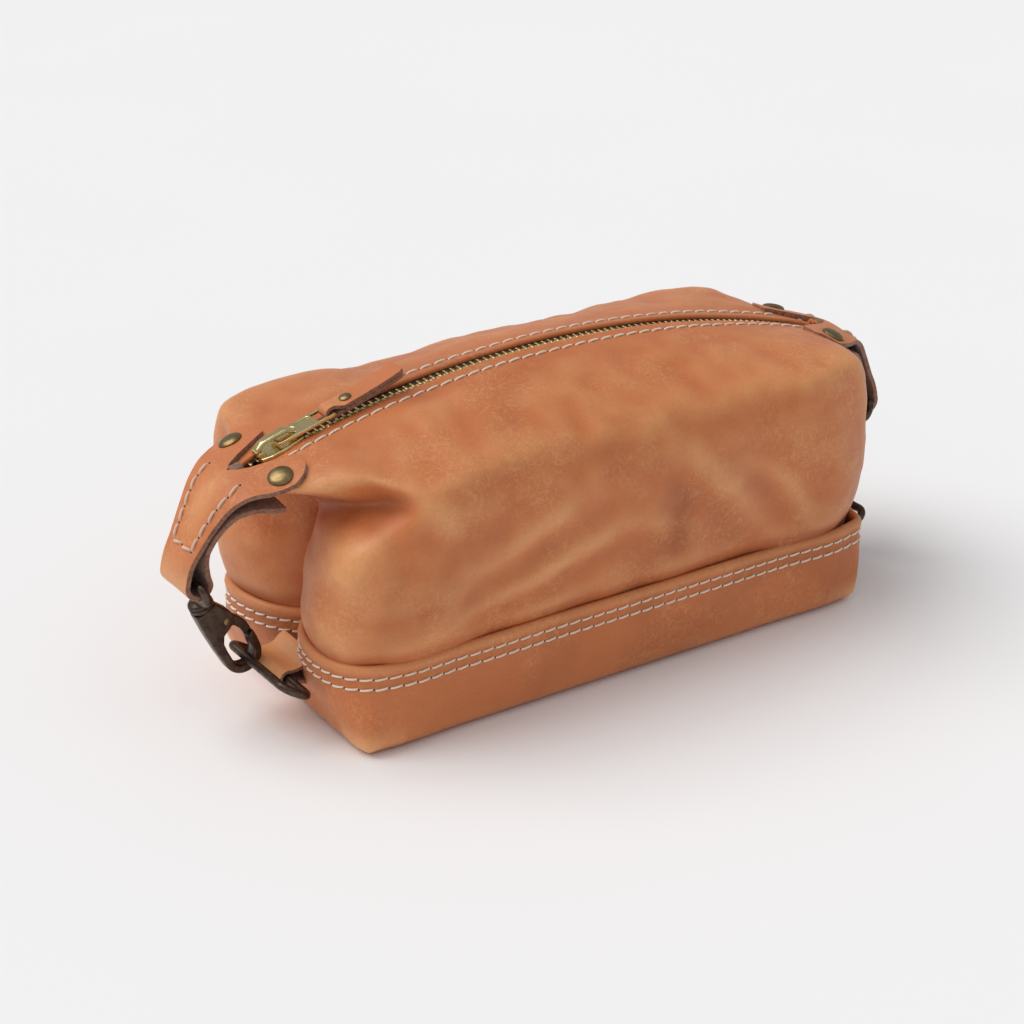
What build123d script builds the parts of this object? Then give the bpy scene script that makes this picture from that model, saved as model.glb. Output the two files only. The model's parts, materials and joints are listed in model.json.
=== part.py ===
from build123d import *
from math import asin, cos, degrees, hypot, radians, sin, sqrt
import os

# Shaving kit bag in leather: X is its length, -Y its front, +Z up, and it stands on z = 0.
# Both ends are alike, so each end piece is made for the left end and mirrored for the right.
# All sizes are in millimetres.

# Leather body
bag_length = 254.0  # outside the stitched base band
bag_width = 121.0
band_height = 38.0  # top edge of the base panel
band_lap = 12.0  # how far the upper panels go down inside the band
leather = 2.0
corner_radius = 12.0
base_edge_radius = 5.0
base_edge_inner_radius = 3.0
end_valley = 5.0  # the end faces fold inwards this far at their middle
end_flat_y = 30.0  # where that fold starts, from the middle
shoulder_setback = 15.0  # in from the end of the base
shoulder_y = 59.0
shoulder_height = 110.0
crease_setback = 19.0  # top of the fold in each end
crease_height = 82.0

# Zip
zip_top = 131.0  # leather height at the middle of the zip
zip_crown = 24.01  # how far the zip line falls from its middle to the ends of the top
tip_overhang = 20.0  # where the two panels meet beyond the zip, out from the end of the base
tip_half_width = 14.0  # the blunt end of the top, under the strap
tip_rise = 0.0  # its corners, above the end of the zip line
slot_half_width = 6.3  # from the middle of the zip to the turned leather edge
mouth_setback = 13.0  # the stretch of zip that opens ends this far in from the end of the base
mouth_axis_drop = 4.5  # hinge line below the zip at the ends of that stretch
edge_setback = 27.0
edge_first_angle = 12.0
edge_last_angle = 75.0
mouth_clearance = 2.6  # the panels clear the outer edge of the tape as it turns
tape_drop = 2.0
tape_thickness = 0.8
tape_half_width = 6.0  # also where the turned edges start
tooth_pitch = 3.2
tooth_length = 1.3
tooth_height = 3.0
tooth_reach = 3.4  # outer side of a tooth from the middle of the zip
tooth_gap = 0.55  # half of the gap that the slider's post runs in
zip_overhang = 12.0
stop_length = 2.4
body_gap = 0.4

# Slider, bridge, pull tab and leather pull, in the slider's own frame: s along the zip, h above it
slider_overhang = 1.0  # the slider parks this far out from the end of the base
slider_length = 20.0
slider_width = 11.5
slider_plate = 1.5
slider_floor = 1.2
tooth_clearance = 0.3
post_clearance = 0.1
bridge_width = 3.4
bridge_thickness = 1.4
bridge_rise = 5.6
bridge_corner_rise = 1.6  # its far corner is cut off by this much
bridge_corner_length = 2.0
bridge_slope_start = 4.4  # from the near leg: where its top turns down
bridge_slope_drop = 2.2
bridge_slope_end = 0.4
tab_width = 9.8
tab_thickness = 1.3
tab_bar = 1.8
tab_axis_s = 0.9
tab_axis_h = 2.8
tab_length = 25.0  # between the tab's two bars
tab_eye_length = 9.3
tab_slot_length = 5.5
tab_slot_width = 7.2
tab_side_gap = 0.6
pull_leather = 1.6
pull_bend_length = 5.4  # from the bar to where the two leaves meet
pull_bend_start = 2.4
pull_neck_length = 1.2  # beyond the bar
pull_shoulder_length = 2.5
pull_corner = 2.0
pull_length = 34.0
pull_width = 9.4
pull_bore_clearance = 0.35
pull_side_clearance = 0.4
pull_rivet_s = 8.5
pull_rivet_radius = 1.0
pull_rivet_cap_radius = 2.6
pull_rivet_cap = 1.0

# End strap, folded in two round the eye of the snap
strap_leather = 2.2
strap_rise = 0.3  # gap over the zip line
strap_loop_width = 22.0
ear_half_width = 28.0
ear_setback = 1.0  # all these are measured from the end of the base
strap_bend_overhang = 22.0
strap_loop_overhang = 42.0
strap_loop_z = 68.0
strap_loop_radius = 6.0
strap_loop_first = 155  # degrees round the loop, from the bag side
strap_loop_last = 340
strap_loop_step = 15
lower_leaf_overhang = 16.0
lower_leaf_z = 98.5
lower_leaf_run = 6.0  # the last straight run of the lower leaf
lower_leaf_fall = 4.5
ear_corner_length = 4.0
ear_corner_width = 3.0
ear_side_length = 13.0
ear_side_taper = 1.0
ear_waist_length = 24.0
ear_waist_taper = 9.0
ear_length = 36.0
notch_mouth = 13.0
notch_foot = 4.0
notch_foot_length = 2.0
rivet_overhang = 10.0
rivet_y = 20.0
rivet_cap_radius = 5.0
rivet_cap = 1.8
rivet_post_radius = 1.8
rivet_tail = 4.6  # below the strap, set in the panel

# Swivel snap, in its own frame: w towards the bag, u down along the snap from the bar of its eye
snap_tilt = 21.6  # degrees from upright
eye_wire = 3.4
eye_side_gap = 0.5
collar_top = 12.0
collar_bottom = 16.6
collar_radius = 5.2
swivel_gap = 0.2
stem_radius = 2.0
stem_length = 5.2
stem_clearance = 0.05
snap_thickness = 5.4
snap_neck_taper = 0.6  # the body's top is this much narrower than the collar
snap_shoulder_w = 8.2
snap_shoulder_drop = 6.2  # from the body's top to its full width
snap_ferrule = 3.0
pin_land = 1.8  # from the middle of the gate's pin down to the body's edge
throat_w = 3.4
throat_drop = 3.4  # from the pin
bight_start_w = 0.6
bight_start_drop = 7.6
hook_centre_w = 5.4
hook_centre_u = 44.2
hook_outer_radius = 8.2
hook_inner_radius = 4.9
nose_top_u = 36.2
gate_pin_w = 5.6
gate_pin_u = 26.4
gate_pin_radius = 1.0
gate_pin_clearance = 0.05
gate_root_radius = 2.4
gate_root_thickness = 2.2
gate_slot_clearance = 0.25
gate_nose_gap = 0.3
gate_width = 3.4
gate_neck_drop = 4.6  # from the pin to where the arm is as wide as the gate
gate_slot_back = 0.6  # the slot goes this far behind the gate's root
gate_slot_rise = 3.2
gate_spring_thickness = 0.3
gate_spring_rise = 2.6
gate_spring_drop = 2.2

# Ring and its leather keeper, low on each end
ring_wire = 3.6
ring_length = 50.0
ring_reach = 12.8  # between the middles of the two long bars
ring_y = -14.0
ring_bend = 4.6
keeper_z = 22.0
keeper_y = -7.0
keeper_width = 26.0
keeper_leather = 1.6
keeper_clearance = 0.3
keeper_foot_height = 15.0
keeper_hollow = 5.0  # where its two leaves meet, from the bar
keeper_root = 3.0  # how far the leaves run on, before they are cut back to the base

# Worked out from the sizes above: places along the length, from the middle
end_x = bag_length / 2
shoulder_x = end_x - shoulder_setback
crease_x = end_x - crease_setback
zip_half_length = end_x + tip_overhang
zip_arc_radius = zip_half_length**2 / (2 * zip_crown)
mouth_half_length = end_x - mouth_setback
edge_half_length = end_x - edge_setback
zip_end_x = end_x + zip_overhang
slider_x = end_x + slider_overhang
ear_start_x = end_x - ear_setback
rivet_x = end_x + rivet_overhang
lower_leaf_x = end_x + lower_leaf_overhang
strap_bend_x = end_x + strap_bend_overhang
strap_loop_x = end_x + strap_loop_overhang

# Worked out from the sizes above: heights and angles
arc_centre_z = zip_top - zip_arc_radius
panel_half_length = bag_length / 2 - leather
panel_half_width = bag_width / 2 - leather


def zip_z(x):
    """Height of the zip line, which is the top of the leather beside it."""
    return arc_centre_z + sqrt(zip_arc_radius**2 - x**2)


mouth_axis_z = zip_z(mouth_half_length) - mouth_axis_drop
tooth_middle = tape_drop + tape_thickness / 2  # below the zip line
plate_under = tooth_middle - tooth_height / 2 - tooth_clearance
floor_top = tooth_middle + tooth_height / 2 + tooth_clearance
slider_angle = degrees(asin(slider_x / zip_arc_radius))
ring_wire_radius = ring_wire / 2
eye_leg_y = strap_loop_width / 2 + eye_side_gap + eye_wire / 2


def ribbon(points, thickness):
    """Outline, as (x, z) points, of a strip of this thickness along a centre line."""
    left = []
    right = []
    last = len(points) - 1
    for i, (x, z) in enumerate(points):
        before = points[max(i - 1, 0)]
        after = points[min(i + 1, last)]
        ends = [(before, (x, z)), ((x, z), after)]
        normals = []
        for (ax, az), (bx, bz) in ends:
            run = hypot(bx - ax, bz - az)
            if run > 0:
                normals.append(((az - bz) / run, (bx - ax) / run))
        nx = sum(n[0] for n in normals) / len(normals)
        nz = sum(n[1] for n in normals) / len(normals)
        scale = thickness / 2 / (nx * nx + nz * nz)
        left.append((x + nx * scale, z + nz * scale))
        right.append((x - nx * scale, z - nz * scale))
    return left + right[::-1]


def prism_y(outline, half_width, middle=0.0):
    """Solid with an (x, z) outline, from one side of the middle to the other along Y."""
    upright = Plane((0, middle, 0), x_dir=(1, 0, 0), z_dir=(0, -1, 0))
    face = upright * make_face(Polyline(*outline, close=True))
    return extrude(face, half_width, both=True)


def prism_z(outline, low, high):
    """Solid with an (x, y) outline between two heights."""
    return extrude(Pos(0, 0, low) * make_face(Polyline(*outline, close=True)), high - low)


def block(low, high):
    """Box between two corners."""
    size = [b - a for a, b in zip(low, high)]
    middle = [(a + b) / 2 for a, b in zip(low, high)]
    return Pos(*middle) * Box(*size)


def cylinder_y(radius, half_width, x, z, middle=0.0):
    """Cylinder along Y."""
    return Pos(x, middle, z) * Rot(90, 0, 0) * Cylinder(radius, 2 * half_width)


def rod(radius, start, end):
    """Round bar between two points, with round ends."""
    direction = Vector(*end) - Vector(*start)
    middle = (Vector(*start) + Vector(*end)) * 0.5
    bar = Plane(middle, z_dir=direction) * Cylinder(radius, direction.length)
    return bar + Pos(*start) * Sphere(radius) + Pos(*end) * Sphere(radius)


# Leather body -------------------------------------------------------------------------------------


def body_form(inset):
    """Closed form of the bag above the band, moved inwards by the inset."""
    band_x = panel_half_length - inset
    band_y = panel_half_width - inset
    valley_x = band_x - end_valley
    tip_x = zip_half_length - 2 * inset
    tip_y = tip_half_width - inset
    high_x = shoulder_x - inset
    high_y = shoulder_y - inset
    high_z = shoulder_height - inset

    def top(x):
        return (x, 0, zip_z(x) - inset)

    faces = []
    for side in (-1, 1):
        rim = [
            (-tip_x, side * tip_y, top(tip_x)[2] + tip_rise),
            (-high_x, side * high_y, high_z),
            (high_x, side * high_y, high_z),
            (tip_x, side * tip_y, top(tip_x)[2] + tip_rise),
        ]
        stops = [-tip_x, -high_x, high_x, tip_x]
        for i in range(3):
            middle = (stops[i] + stops[i + 1]) / 2
            arch = ThreePointArc(top(stops[i]), top(middle), top(stops[i + 1]))
            faces.append(Face.make_surface_from_curves(arch.edge(), Line(rim[i], rim[i + 1]).edge()))
        wall = [
            (-band_x, side * band_y, band_height),
            (band_x, side * band_y, band_height),
            rim[2],
            rim[1],
        ]
        faces.append(polygon(wall))
        for end in (-1, 1):
            tip = top(end * tip_x)
            corner = rim[0] if end < 0 else rim[3]
            high = rim[1] if end < 0 else rim[2]
            low = (end * band_x, side * band_y, band_height)
            flat = (end * band_x, side * end_flat_y, band_height)
            fold = (end * (crease_x - inset), 0, crease_height)
            valley = (end * valley_x, 0, band_height)
            for corners in (
                [tip, corner, fold],
                [corner, high, fold],
                [high, low, flat],
                [high, flat, valley],
                [high, valley, fold],
            ):
                faces.append(polygon(corners))
    faces.append(polygon([(x, y, band_height) for x, y in band_outline(band_x, band_y)]))
    return Solid(Shell(faces))


def polygon(points):
    """Flat face through points in order."""
    return Face(Wire.make_polygon(points, close=True))


def band_outline(half_length, half_width):
    """Plan of the base, with each end folded in at its middle."""
    valley = half_length - end_valley
    return [
        (-half_length, -half_width),
        (half_length, -half_width),
        (half_length, -end_flat_y),
        (valley, 0),
        (half_length, end_flat_y),
        (half_length, half_width),
        (-half_length, half_width),
        (-half_length, end_flat_y),
        (-valley, 0),
        (-half_length, -end_flat_y),
    ]


def mouth_cutter():
    """Round form that the opening edges turn inside, with clearance."""
    return turned(mouth_half_length + body_gap, -20, mouth_clearance, -100, 100)


def turned(half_length, inner_drop, outer_rise, first_angle, last_angle):
    """Solid turned about the mouth's hinge line, from angle to angle, from upright towards the front.

    Its outside is the zip line moved out by the rise, and its inside the zip line moved in by the drop,
    or the hinge line itself where the drop is negative.
    """
    end_radius = zip_z(half_length) - mouth_axis_z
    top_radius = zip_top - mouth_axis_z
    outer = ThreePointArc(
        (-half_length, end_radius + outer_rise),
        (0, top_radius + outer_rise),
        (half_length, end_radius + outer_rise),
    )
    if inner_drop < 0:
        low = [(half_length, 0), (-half_length, 0)]
        inner = Line(*low)
    else:
        inner = ThreePointArc(
            (half_length, end_radius - inner_drop),
            (0, top_radius - inner_drop),
            (-half_length, end_radius - inner_drop),
        )
    sides = [Line(outer @ 1, inner @ 0), Line(inner @ 1, outer @ 0)]
    face = make_face([outer.edge(), sides[0].edge(), inner.edge(), sides[1].edge()])
    upright = Plane((0, 0, 0), x_dir=(1, 0, 0), z_dir=(0, -1, 0)) * face
    solid = revolve(Rot(first_angle, 0, 0) * upright, Axis.X, last_angle - first_angle)
    return Pos(0, 0, mouth_axis_z) * solid


def base_panel():
    """Tray of leather: the floor and the band that stands up round the bag."""
    outline = make_face(Polyline(*band_outline(bag_length / 2, bag_width / 2), close=True))
    outer = extrude(outline, band_height)
    corners = outer.edges().filter_by(Axis.Z).filter_by(lambda e: abs(e.center().Y) > end_flat_y + 1)
    outer = fillet(corners, corner_radius)
    outer = fillet(outer.faces().sort_by(Axis.Z)[0].edges(), base_edge_radius)
    inner_outline = make_face(Polyline(*band_outline(panel_half_length, panel_half_width), close=True))
    inner = extrude(Pos(0, 0, leather) * inner_outline, band_height)
    inner_corners = inner.edges().filter_by(Axis.Z).filter_by(lambda e: abs(e.center().Y) > end_flat_y + 1)
    inner = fillet(inner_corners, corner_radius - leather)
    inner = fillet(inner.faces().sort_by(Axis.Z)[0].edges(), base_edge_inner_radius)
    return outer - inner


def upper_shell():
    """Both upper panels together, open below and along the mouth."""
    foot = band_height - band_lap
    outer = body_form(0) + rounded_skirt(0, foot, band_height)
    inner = body_form(leather) + rounded_skirt(leather, foot - 1, band_height)
    shell = outer - inner
    slot = block(
        (-zip_end_x - stop_length, -slot_half_width, shoulder_height - 20),
        (zip_end_x + stop_length, slot_half_width, zip_top + 10),
    )
    shell = shell - mouth_cutter() - slot
    for end in (-1, 1):
        for side in (-1, 1):
            post = rivet_place(side) * Cylinder(rivet_post_radius, 3 * rivet_tail)
            shell -= post if end < 0 else mirror(post, Plane.YZ)
    return shell


def rounded_skirt(inset, low, high):
    """The straight foot of the upper panels, inside the band."""
    outline = band_outline(panel_half_length - inset, panel_half_width - inset)
    skirt = prism_z(outline, low, high)
    corners = skirt.edges().filter_by(Axis.Z).filter_by(lambda e: abs(e.center().Y) > end_flat_y + 1)
    return fillet(corners, corner_radius - leather - inset)


def half_of(solid, side):
    """The part of a solid in front of the middle (side -1) or behind it (side 1)."""
    reach = 2 * bag_length
    low = (-reach, min(0, side * reach), -reach)
    high = (reach, max(0, side * reach), reach)
    return solid & block(low, high)


# Zip ----------------------------------------------------------------------------------------------


def mouth_edge(side):
    """Turned leather edge along one side of the zip."""
    edge = turned(edge_half_length, leather, 0, edge_first_angle, edge_last_angle)
    if side > 0:
        edge = mirror(edge, Plane.XZ)
    slot = block((-bag_length, -tape_half_width, 0), (bag_length, tape_half_width, 2 * zip_top))
    return edge - slot


def tape_strip(side, start, end, edge):
    """Flat strip of tape along the zip line between two places, from the teeth out to its edge."""
    low = -tape_drop - tape_thickness
    high = -tape_drop
    middle_x = (start + end) / 2
    upper = ThreePointArc(
        (start, zip_z(start) + high), (middle_x, zip_z(middle_x) + high), (end, zip_z(end) + high)
    )
    lower = ThreePointArc(
        (end, zip_z(end) + low), (middle_x, zip_z(middle_x) + low), (start, zip_z(start) + low)
    )
    sides = [Line(upper @ 1, lower @ 0), Line(lower @ 1, upper @ 0)]
    face = make_face([upper.edge(), sides[0].edge(), lower.edge(), sides[1].edge()])
    middle = side * (tooth_reach + edge) / 2
    standing = Plane((0, middle, 0), x_dir=(1, 0, 0), z_dir=(0, -1, 0)) * face
    return extrude(standing, (edge - tooth_reach) / 2, both=True)


def teeth(side, start, end):
    """Row of separate teeth on one side of the zip; the back row stands half a pitch further on."""
    count = int((end - start - tooth_length - tooth_pitch / 2) / tooth_pitch) + 1
    spare = (end - start) - (count - 1) * tooth_pitch - tooth_pitch / 2
    row = []
    for i in range(count):
        x = start + spare / 2 + i * tooth_pitch + (tooth_pitch / 2 if side > 0 else 0)
        z = zip_z(x) - tooth_middle
        low_y, high_y = sorted((side * tooth_gap, side * tooth_reach))
        row.append(
            block(
                (x - tooth_length / 2, low_y, z - tooth_height / 2),
                (x + tooth_length / 2, high_y, z + tooth_height / 2),
            )
        )
    return row


def zip_stops(end, wide):
    """The zip's stop at one end: a block on each tape, or one block across both."""
    x = end * (zip_end_x + stop_length / 2)
    z = zip_z(x) - tooth_middle
    half = stop_length / 2 - 0.05
    if wide:
        low = (x - half, -tooth_reach, z - tooth_height / 2)
        high = (x + half, tooth_reach, z + tooth_height / 2)
        return [block(low, high)]
    return [
        block(
            (x - half, min(side * tooth_gap, side * tooth_reach), z - tooth_height / 2),
            (x + half, max(side * tooth_gap, side * tooth_reach), z + tooth_height / 2),
        )
        for side in (-1, 1)
    ]


# Slider, pull tab and leather pull ----------------------------------------------------------------


def on_slider(solid):
    """Move a solid from the slider's frame to its parked place at the left end."""
    return Pos(-slider_x, 0, zip_z(slider_x)) * Rot(0, -slider_angle, 0) * solid


def slider_body():
    """Two plates, one over and one under the teeth, joined by the post that runs between them."""
    half = slider_length / 2
    top = block(
        (-half, -slider_width / 2, -plate_under), (half, slider_width / 2, -plate_under + slider_plate)
    )
    bottom = block(
        (-half, -slider_width / 2, -floor_top - slider_floor), (half, slider_width / 2, -floor_top)
    )
    plan = top.edges().filter_by(Axis.Z)
    top = fillet(plan, slider_width / 4)
    bottom = fillet(bottom.edges().filter_by(Axis.Z), slider_width / 4)
    post_half = tooth_gap - post_clearance
    post = block((-half + 1, -post_half, -floor_top), (half - 1, post_half, -plate_under))
    return top + post + bottom


def slider_bridge():
    """Arch over the slider that holds the pull tab."""
    deck = -plate_under + slider_plate
    half = slider_length / 2 - bridge_thickness
    middle = bridge_rise - bridge_thickness / 2
    line = [
        (-half, deck),
        (-half, middle - bridge_corner_rise),
        (-half + bridge_corner_length, middle),
        (half - bridge_slope_start, middle),
        (half - bridge_slope_end, middle - bridge_slope_drop),
        (half - bridge_slope_end, deck),
    ]
    return prism_y(ribbon(line, bridge_thickness), bridge_width / 2)


def pull_tab():
    """Metal tab with an eye for the bridge and a slot for the leather pull."""
    start = tab_axis_s
    end = tab_axis_s + tab_length
    plate = block(
        (start, -tab_width / 2, tab_axis_h - tab_thickness / 2),
        (end, tab_width / 2, tab_axis_h + tab_thickness / 2),
    )
    bars = cylinder_y(tab_bar / 2, tab_width / 2, start, tab_axis_h)
    bars += cylinder_y(tab_bar / 2, tab_width / 2, end, tab_axis_h)
    eye_half = bridge_width / 2 + tab_side_gap
    eye = block(
        (start + tab_bar / 2, -eye_half, tab_axis_h - 2), (start + tab_eye_length, eye_half, tab_axis_h + 2)
    )
    slot = block(
        (end - tab_bar / 2 - tab_slot_length, -tab_slot_width / 2, tab_axis_h - 2),
        (end - tab_bar / 2, tab_slot_width / 2, tab_axis_h + 2),
    )
    return plate + bars - eye - slot


def pull_centre_line():
    """Centre line of the folded leather pull: out along the top leaf and back along the lower one."""
    s0 = tab_axis_s + tab_length
    radius = tab_bar / 2 + pull_bore_clearance + pull_leather / 2
    leaf = pull_leather / 2 + 0.05
    top = [
        (s0 + pull_length, tab_axis_h + leaf),
        (s0 + pull_bend_length, tab_axis_h + leaf),
        (s0 + pull_bend_start, tab_axis_h + radius),
    ]
    arc = [
        (s0 + radius * cos(radians(a)), tab_axis_h + radius * sin(radians(a))) for a in range(90, 271, 20)
    ]
    low = [(s, 2 * tab_axis_h - h) for s, h in reversed(top)]
    return top + arc + low


def leather_pull():
    """Strip of leather folded through the tab's slot, with a narrow neck."""
    s0 = tab_axis_s + tab_length
    strip = prism_y(ribbon(pull_centre_line(), pull_leather), pull_width / 2)
    neck = tab_slot_width / 2 - pull_side_clearance
    body_start = s0 + tab_bar / 2 + pull_neck_length
    side = [
        (s0 - tab_length / 2, neck),
        (body_start, neck),
        (body_start + pull_shoulder_length, pull_width / 2),
        (s0 + pull_length - pull_corner, pull_width / 2),
        (s0 + pull_length, pull_width / 2 - pull_corner),
    ]
    plan = [(s, -y) for s, y in side] + side[::-1]
    shaped = strip & prism_z(plan, -20, 20)
    return shaped - Pos(s0 + pull_rivet_s, 0, tab_axis_h) * Cylinder(pull_rivet_radius, 20)


def pull_rivet():
    """Small rivet that holds the two leaves of the pull together."""
    s0 = tab_axis_s + tab_length
    grip = pull_leather + 0.05
    post = Cylinder(pull_rivet_radius, 2 * grip)
    cap = Pos(0, 0, grip + pull_rivet_cap / 2) * Cylinder(pull_rivet_cap_radius, pull_rivet_cap)
    cap = fillet(cap.faces().sort_by(Axis.Z)[-1].edges(), pull_rivet_cap * 0.7)
    washer = Cylinder(pull_rivet_cap_radius * 0.8, pull_rivet_cap / 2)
    washer = Pos(0, 0, -grip - pull_rivet_cap / 4) * washer
    return Pos(s0 + pull_rivet_s, 0, tab_axis_h) * (post + cap + washer)


# End strap and its rivets -------------------------------------------------------------------------


def strap_line():
    """Centre line of the strap in (x, z): along the zip, down, round the snap's eye and back underneath."""
    half = strap_leather / 2
    rise = strap_rise + half
    line = [(-x, zip_z(x) + rise) for x in (ear_start_x, rivet_x, strap_bend_x)]
    radius = strap_loop_radius - half
    for angle in range(strap_loop_first, strap_loop_last + 1, strap_loop_step):
        line.append(
            (-strap_loop_x + radius * cos(radians(angle)), strap_loop_z + radius * sin(radians(angle)))
        )
    line.append((-lower_leaf_x - lower_leaf_run, lower_leaf_z - lower_leaf_fall))
    line.append((-lower_leaf_x, lower_leaf_z))
    return line


def strap_plan():
    """Plan of the strap: two ears beside the zip, tapering to the width of the loop."""
    loop = strap_loop_width / 2
    side = [
        (ear_start_x, notch_mouth),
        (ear_start_x, ear_half_width - ear_corner_width),
        (ear_start_x + ear_corner_length, ear_half_width),
        (ear_start_x + ear_side_length, ear_half_width - ear_side_taper),
        (ear_start_x + ear_waist_length, ear_half_width - ear_waist_taper),
        (ear_start_x + ear_length, loop),
        (strap_loop_x + 2 * strap_loop_radius, loop),
    ]
    back = [(-x, y) for x, y in side]
    front = [(-x, -y) for x, y in reversed(side)]
    notch_x = -strap_bend_x + notch_foot_length
    notch = [(notch_x, -notch_foot), (-strap_bend_x, 0), (notch_x, notch_foot)]
    return back + front + notch


def end_strap():
    """Leather strap riveted beside the end of the zip."""
    strip = prism_y(ribbon(strap_line(), strap_leather), ear_half_width + 2)
    strap = strip & prism_z(strap_plan(), 0, 200)
    for side in (-1, 1):
        strap -= rivet_place(side) * Cylinder(rivet_post_radius, 40)
    return strap


def rivet_place(side):
    """Place of a strap rivet, on the underside of the strap, square to it."""
    slope = degrees(asin(rivet_x / zip_arc_radius))
    return Pos(-rivet_x, side * rivet_y, zip_z(rivet_x) + strap_rise) * Rot(0, -slope, 0)


def strap_rivet(side):
    """Rivet with a domed cap over the strap and its post set in the panel."""
    grip = strap_leather
    cap = Pos(0, 0, grip + rivet_cap / 2) * Cylinder(rivet_cap_radius, rivet_cap)
    cap = fillet(cap.faces().sort_by(Axis.Z)[-1].edges(), rivet_cap * 0.75)
    post = Pos(0, 0, (grip - rivet_tail) / 2) * Cylinder(rivet_post_radius, grip + rivet_tail)
    return rivet_place(side) * (cap + post)


# Swivel snap --------------------------------------------------------------------------------------

snap_across = (cos(radians(snap_tilt)), 0, sin(radians(snap_tilt)))
snap_along = (sin(radians(snap_tilt)), 0, -cos(radians(snap_tilt)))
snap_plane = Plane((-strap_loop_x, 0, strap_loop_z), x_dir=snap_across, z_dir=(0, 1, 0))
hook_x = -strap_loop_x + hook_centre_w * snap_across[0] + hook_centre_u * snap_along[0]
hook_z = strap_loop_z + hook_centre_w * snap_across[2] + hook_centre_u * snap_along[2]
gate_reach = hypot(hook_centre_w + hook_outer_radius - gate_pin_w, nose_top_u - gate_pin_u)
slot_back_w = gate_pin_w - gate_root_radius - gate_slot_back


def snap_prism(outline, half_width):
    """Solid with a (w, u) outline, both ways from the middle of the snap."""
    return extrude(make_face(Polyline(*outline, close=True)), half_width, both=True)


def on_snap(solid):
    """Move a solid from the snap's frame (w, u, y) to its place in the strap's loop."""
    return snap_plane.location * solid


def at_gate_pin(solid):
    """Move a solid from the origin to the gate's pin."""
    return Pos(gate_pin_w, gate_pin_u, 0) * solid


def along_u(radius, start, end):
    """Cylinder along the snap's length."""
    return Pos(0, (start + end) / 2, 0) * Rot(90, 0, 0) * Cylinder(radius, end - start)


def snap_eye():
    """Eye that holds the strap, with the collar and stem that the hook turns on."""
    radius = eye_wire / 2
    eye = rod(radius, (0, 0, -eye_leg_y), (0, 0, eye_leg_y))
    knee_u = strap_loop_radius + radius
    for side in (-1, 1):
        knee = (0, knee_u, side * eye_leg_y)
        foot = (0, collar_top + radius, side * (collar_radius - radius))
        eye += rod(radius, (0, 0, side * eye_leg_y), knee)
        eye += rod(radius, knee, foot)
    collar = along_u(collar_radius, collar_top, collar_bottom)
    stem = along_u(stem_radius, collar_bottom, collar_bottom + stem_length)
    return eye + collar + stem


def snap_body():
    """Hook with its straight back, round bight and nose."""
    top = collar_bottom + swivel_gap
    neck = collar_radius - snap_neck_taper
    inner_left = (hook_centre_w - hook_inner_radius, hook_centre_u)
    inner_right = (hook_centre_w + hook_inner_radius, hook_centre_u)
    outer_right = (hook_centre_w + hook_outer_radius, hook_centre_u)
    outer_left = (hook_centre_w - hook_outer_radius, hook_centre_u)
    shank = Polyline(
        (-neck, top),
        (neck, top),
        (snap_shoulder_w, top + snap_shoulder_drop),
        (snap_shoulder_w, gate_pin_u + pin_land),
        (throat_w, gate_pin_u + throat_drop),
        (bight_start_w, gate_pin_u + bight_start_drop),
        inner_left,
    )
    bight = ThreePointArc(inner_left, (hook_centre_w, hook_centre_u + hook_inner_radius), inner_right)
    nose = Polyline(inner_right, (inner_right[0], nose_top_u), (outer_right[0], nose_top_u), outer_right)
    back = ThreePointArc(outer_right, (hook_centre_w, hook_centre_u + hook_outer_radius), outer_left)
    spine = Line(outer_left, (-neck, top))
    edges = [edge for curve in (shank, bight, nose, back, spine) for edge in curve.edges()]
    body = extrude(make_face(edges), snap_thickness / 2, both=True)
    body += along_u(collar_radius, top, top + snap_ferrule)
    slot_half = gate_root_thickness / 2 + gate_slot_clearance
    slot = block(
        (slot_back_w, gate_pin_u - gate_slot_rise, -slot_half),
        (2 * snap_shoulder_w, gate_pin_u + bight_start_drop, slot_half),
    )
    bore = along_u(stem_radius + stem_clearance, top - 1, top + stem_length)
    pin_hole = at_gate_pin(Cylinder(gate_pin_radius, 2 * snap_thickness))
    nose_side = block(
        (inner_right[0] - 1, gate_pin_u + bight_start_drop, -snap_thickness),
        (outer_right[0] + 1, hook_centre_u, snap_thickness),
    )
    sweep_room = at_gate_pin(Cylinder(gate_reach, 2 * snap_thickness)) & nose_side
    return body - slot - bore - pin_hole - sweep_room


def snap_gate():
    """Gate on its pin, from the slot in the body to the hook's nose."""
    root = at_gate_pin(Cylinder(gate_root_radius, gate_root_thickness))
    tip_w = hook_centre_w + (hook_inner_radius + hook_outer_radius) / 2
    outer_w = tip_w + gate_width / 2
    inner_w = tip_w - gate_width / 2
    neck_u = gate_pin_u + gate_neck_drop
    arm = snap_prism(
        [
            (gate_pin_w - gate_root_radius / 4, gate_pin_u),
            (gate_pin_w + 0.95 * gate_root_radius, gate_pin_u),
            (outer_w, neck_u + 1),
            (outer_w, hook_centre_u),
            (inner_w, hook_centre_u),
            (inner_w - gate_width / 4, neck_u + 1),
        ],
        gate_root_thickness / 2,
    )
    pad = block(
        (inner_w, neck_u + 1.2, -snap_thickness / 2), (outer_w, hook_centre_u, snap_thickness / 2)
    )
    swing = at_gate_pin(Cylinder(gate_reach - gate_nose_gap, 2 * snap_thickness))
    hole = at_gate_pin(Cylinder(gate_pin_radius + gate_pin_clearance, 2 * snap_thickness))
    return root + ((arm + pad) & swing) - hole


def gate_pin():
    """Pin that the gate turns on, flush with the body's sides."""
    return at_gate_pin(Cylinder(gate_pin_radius, snap_thickness))


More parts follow.
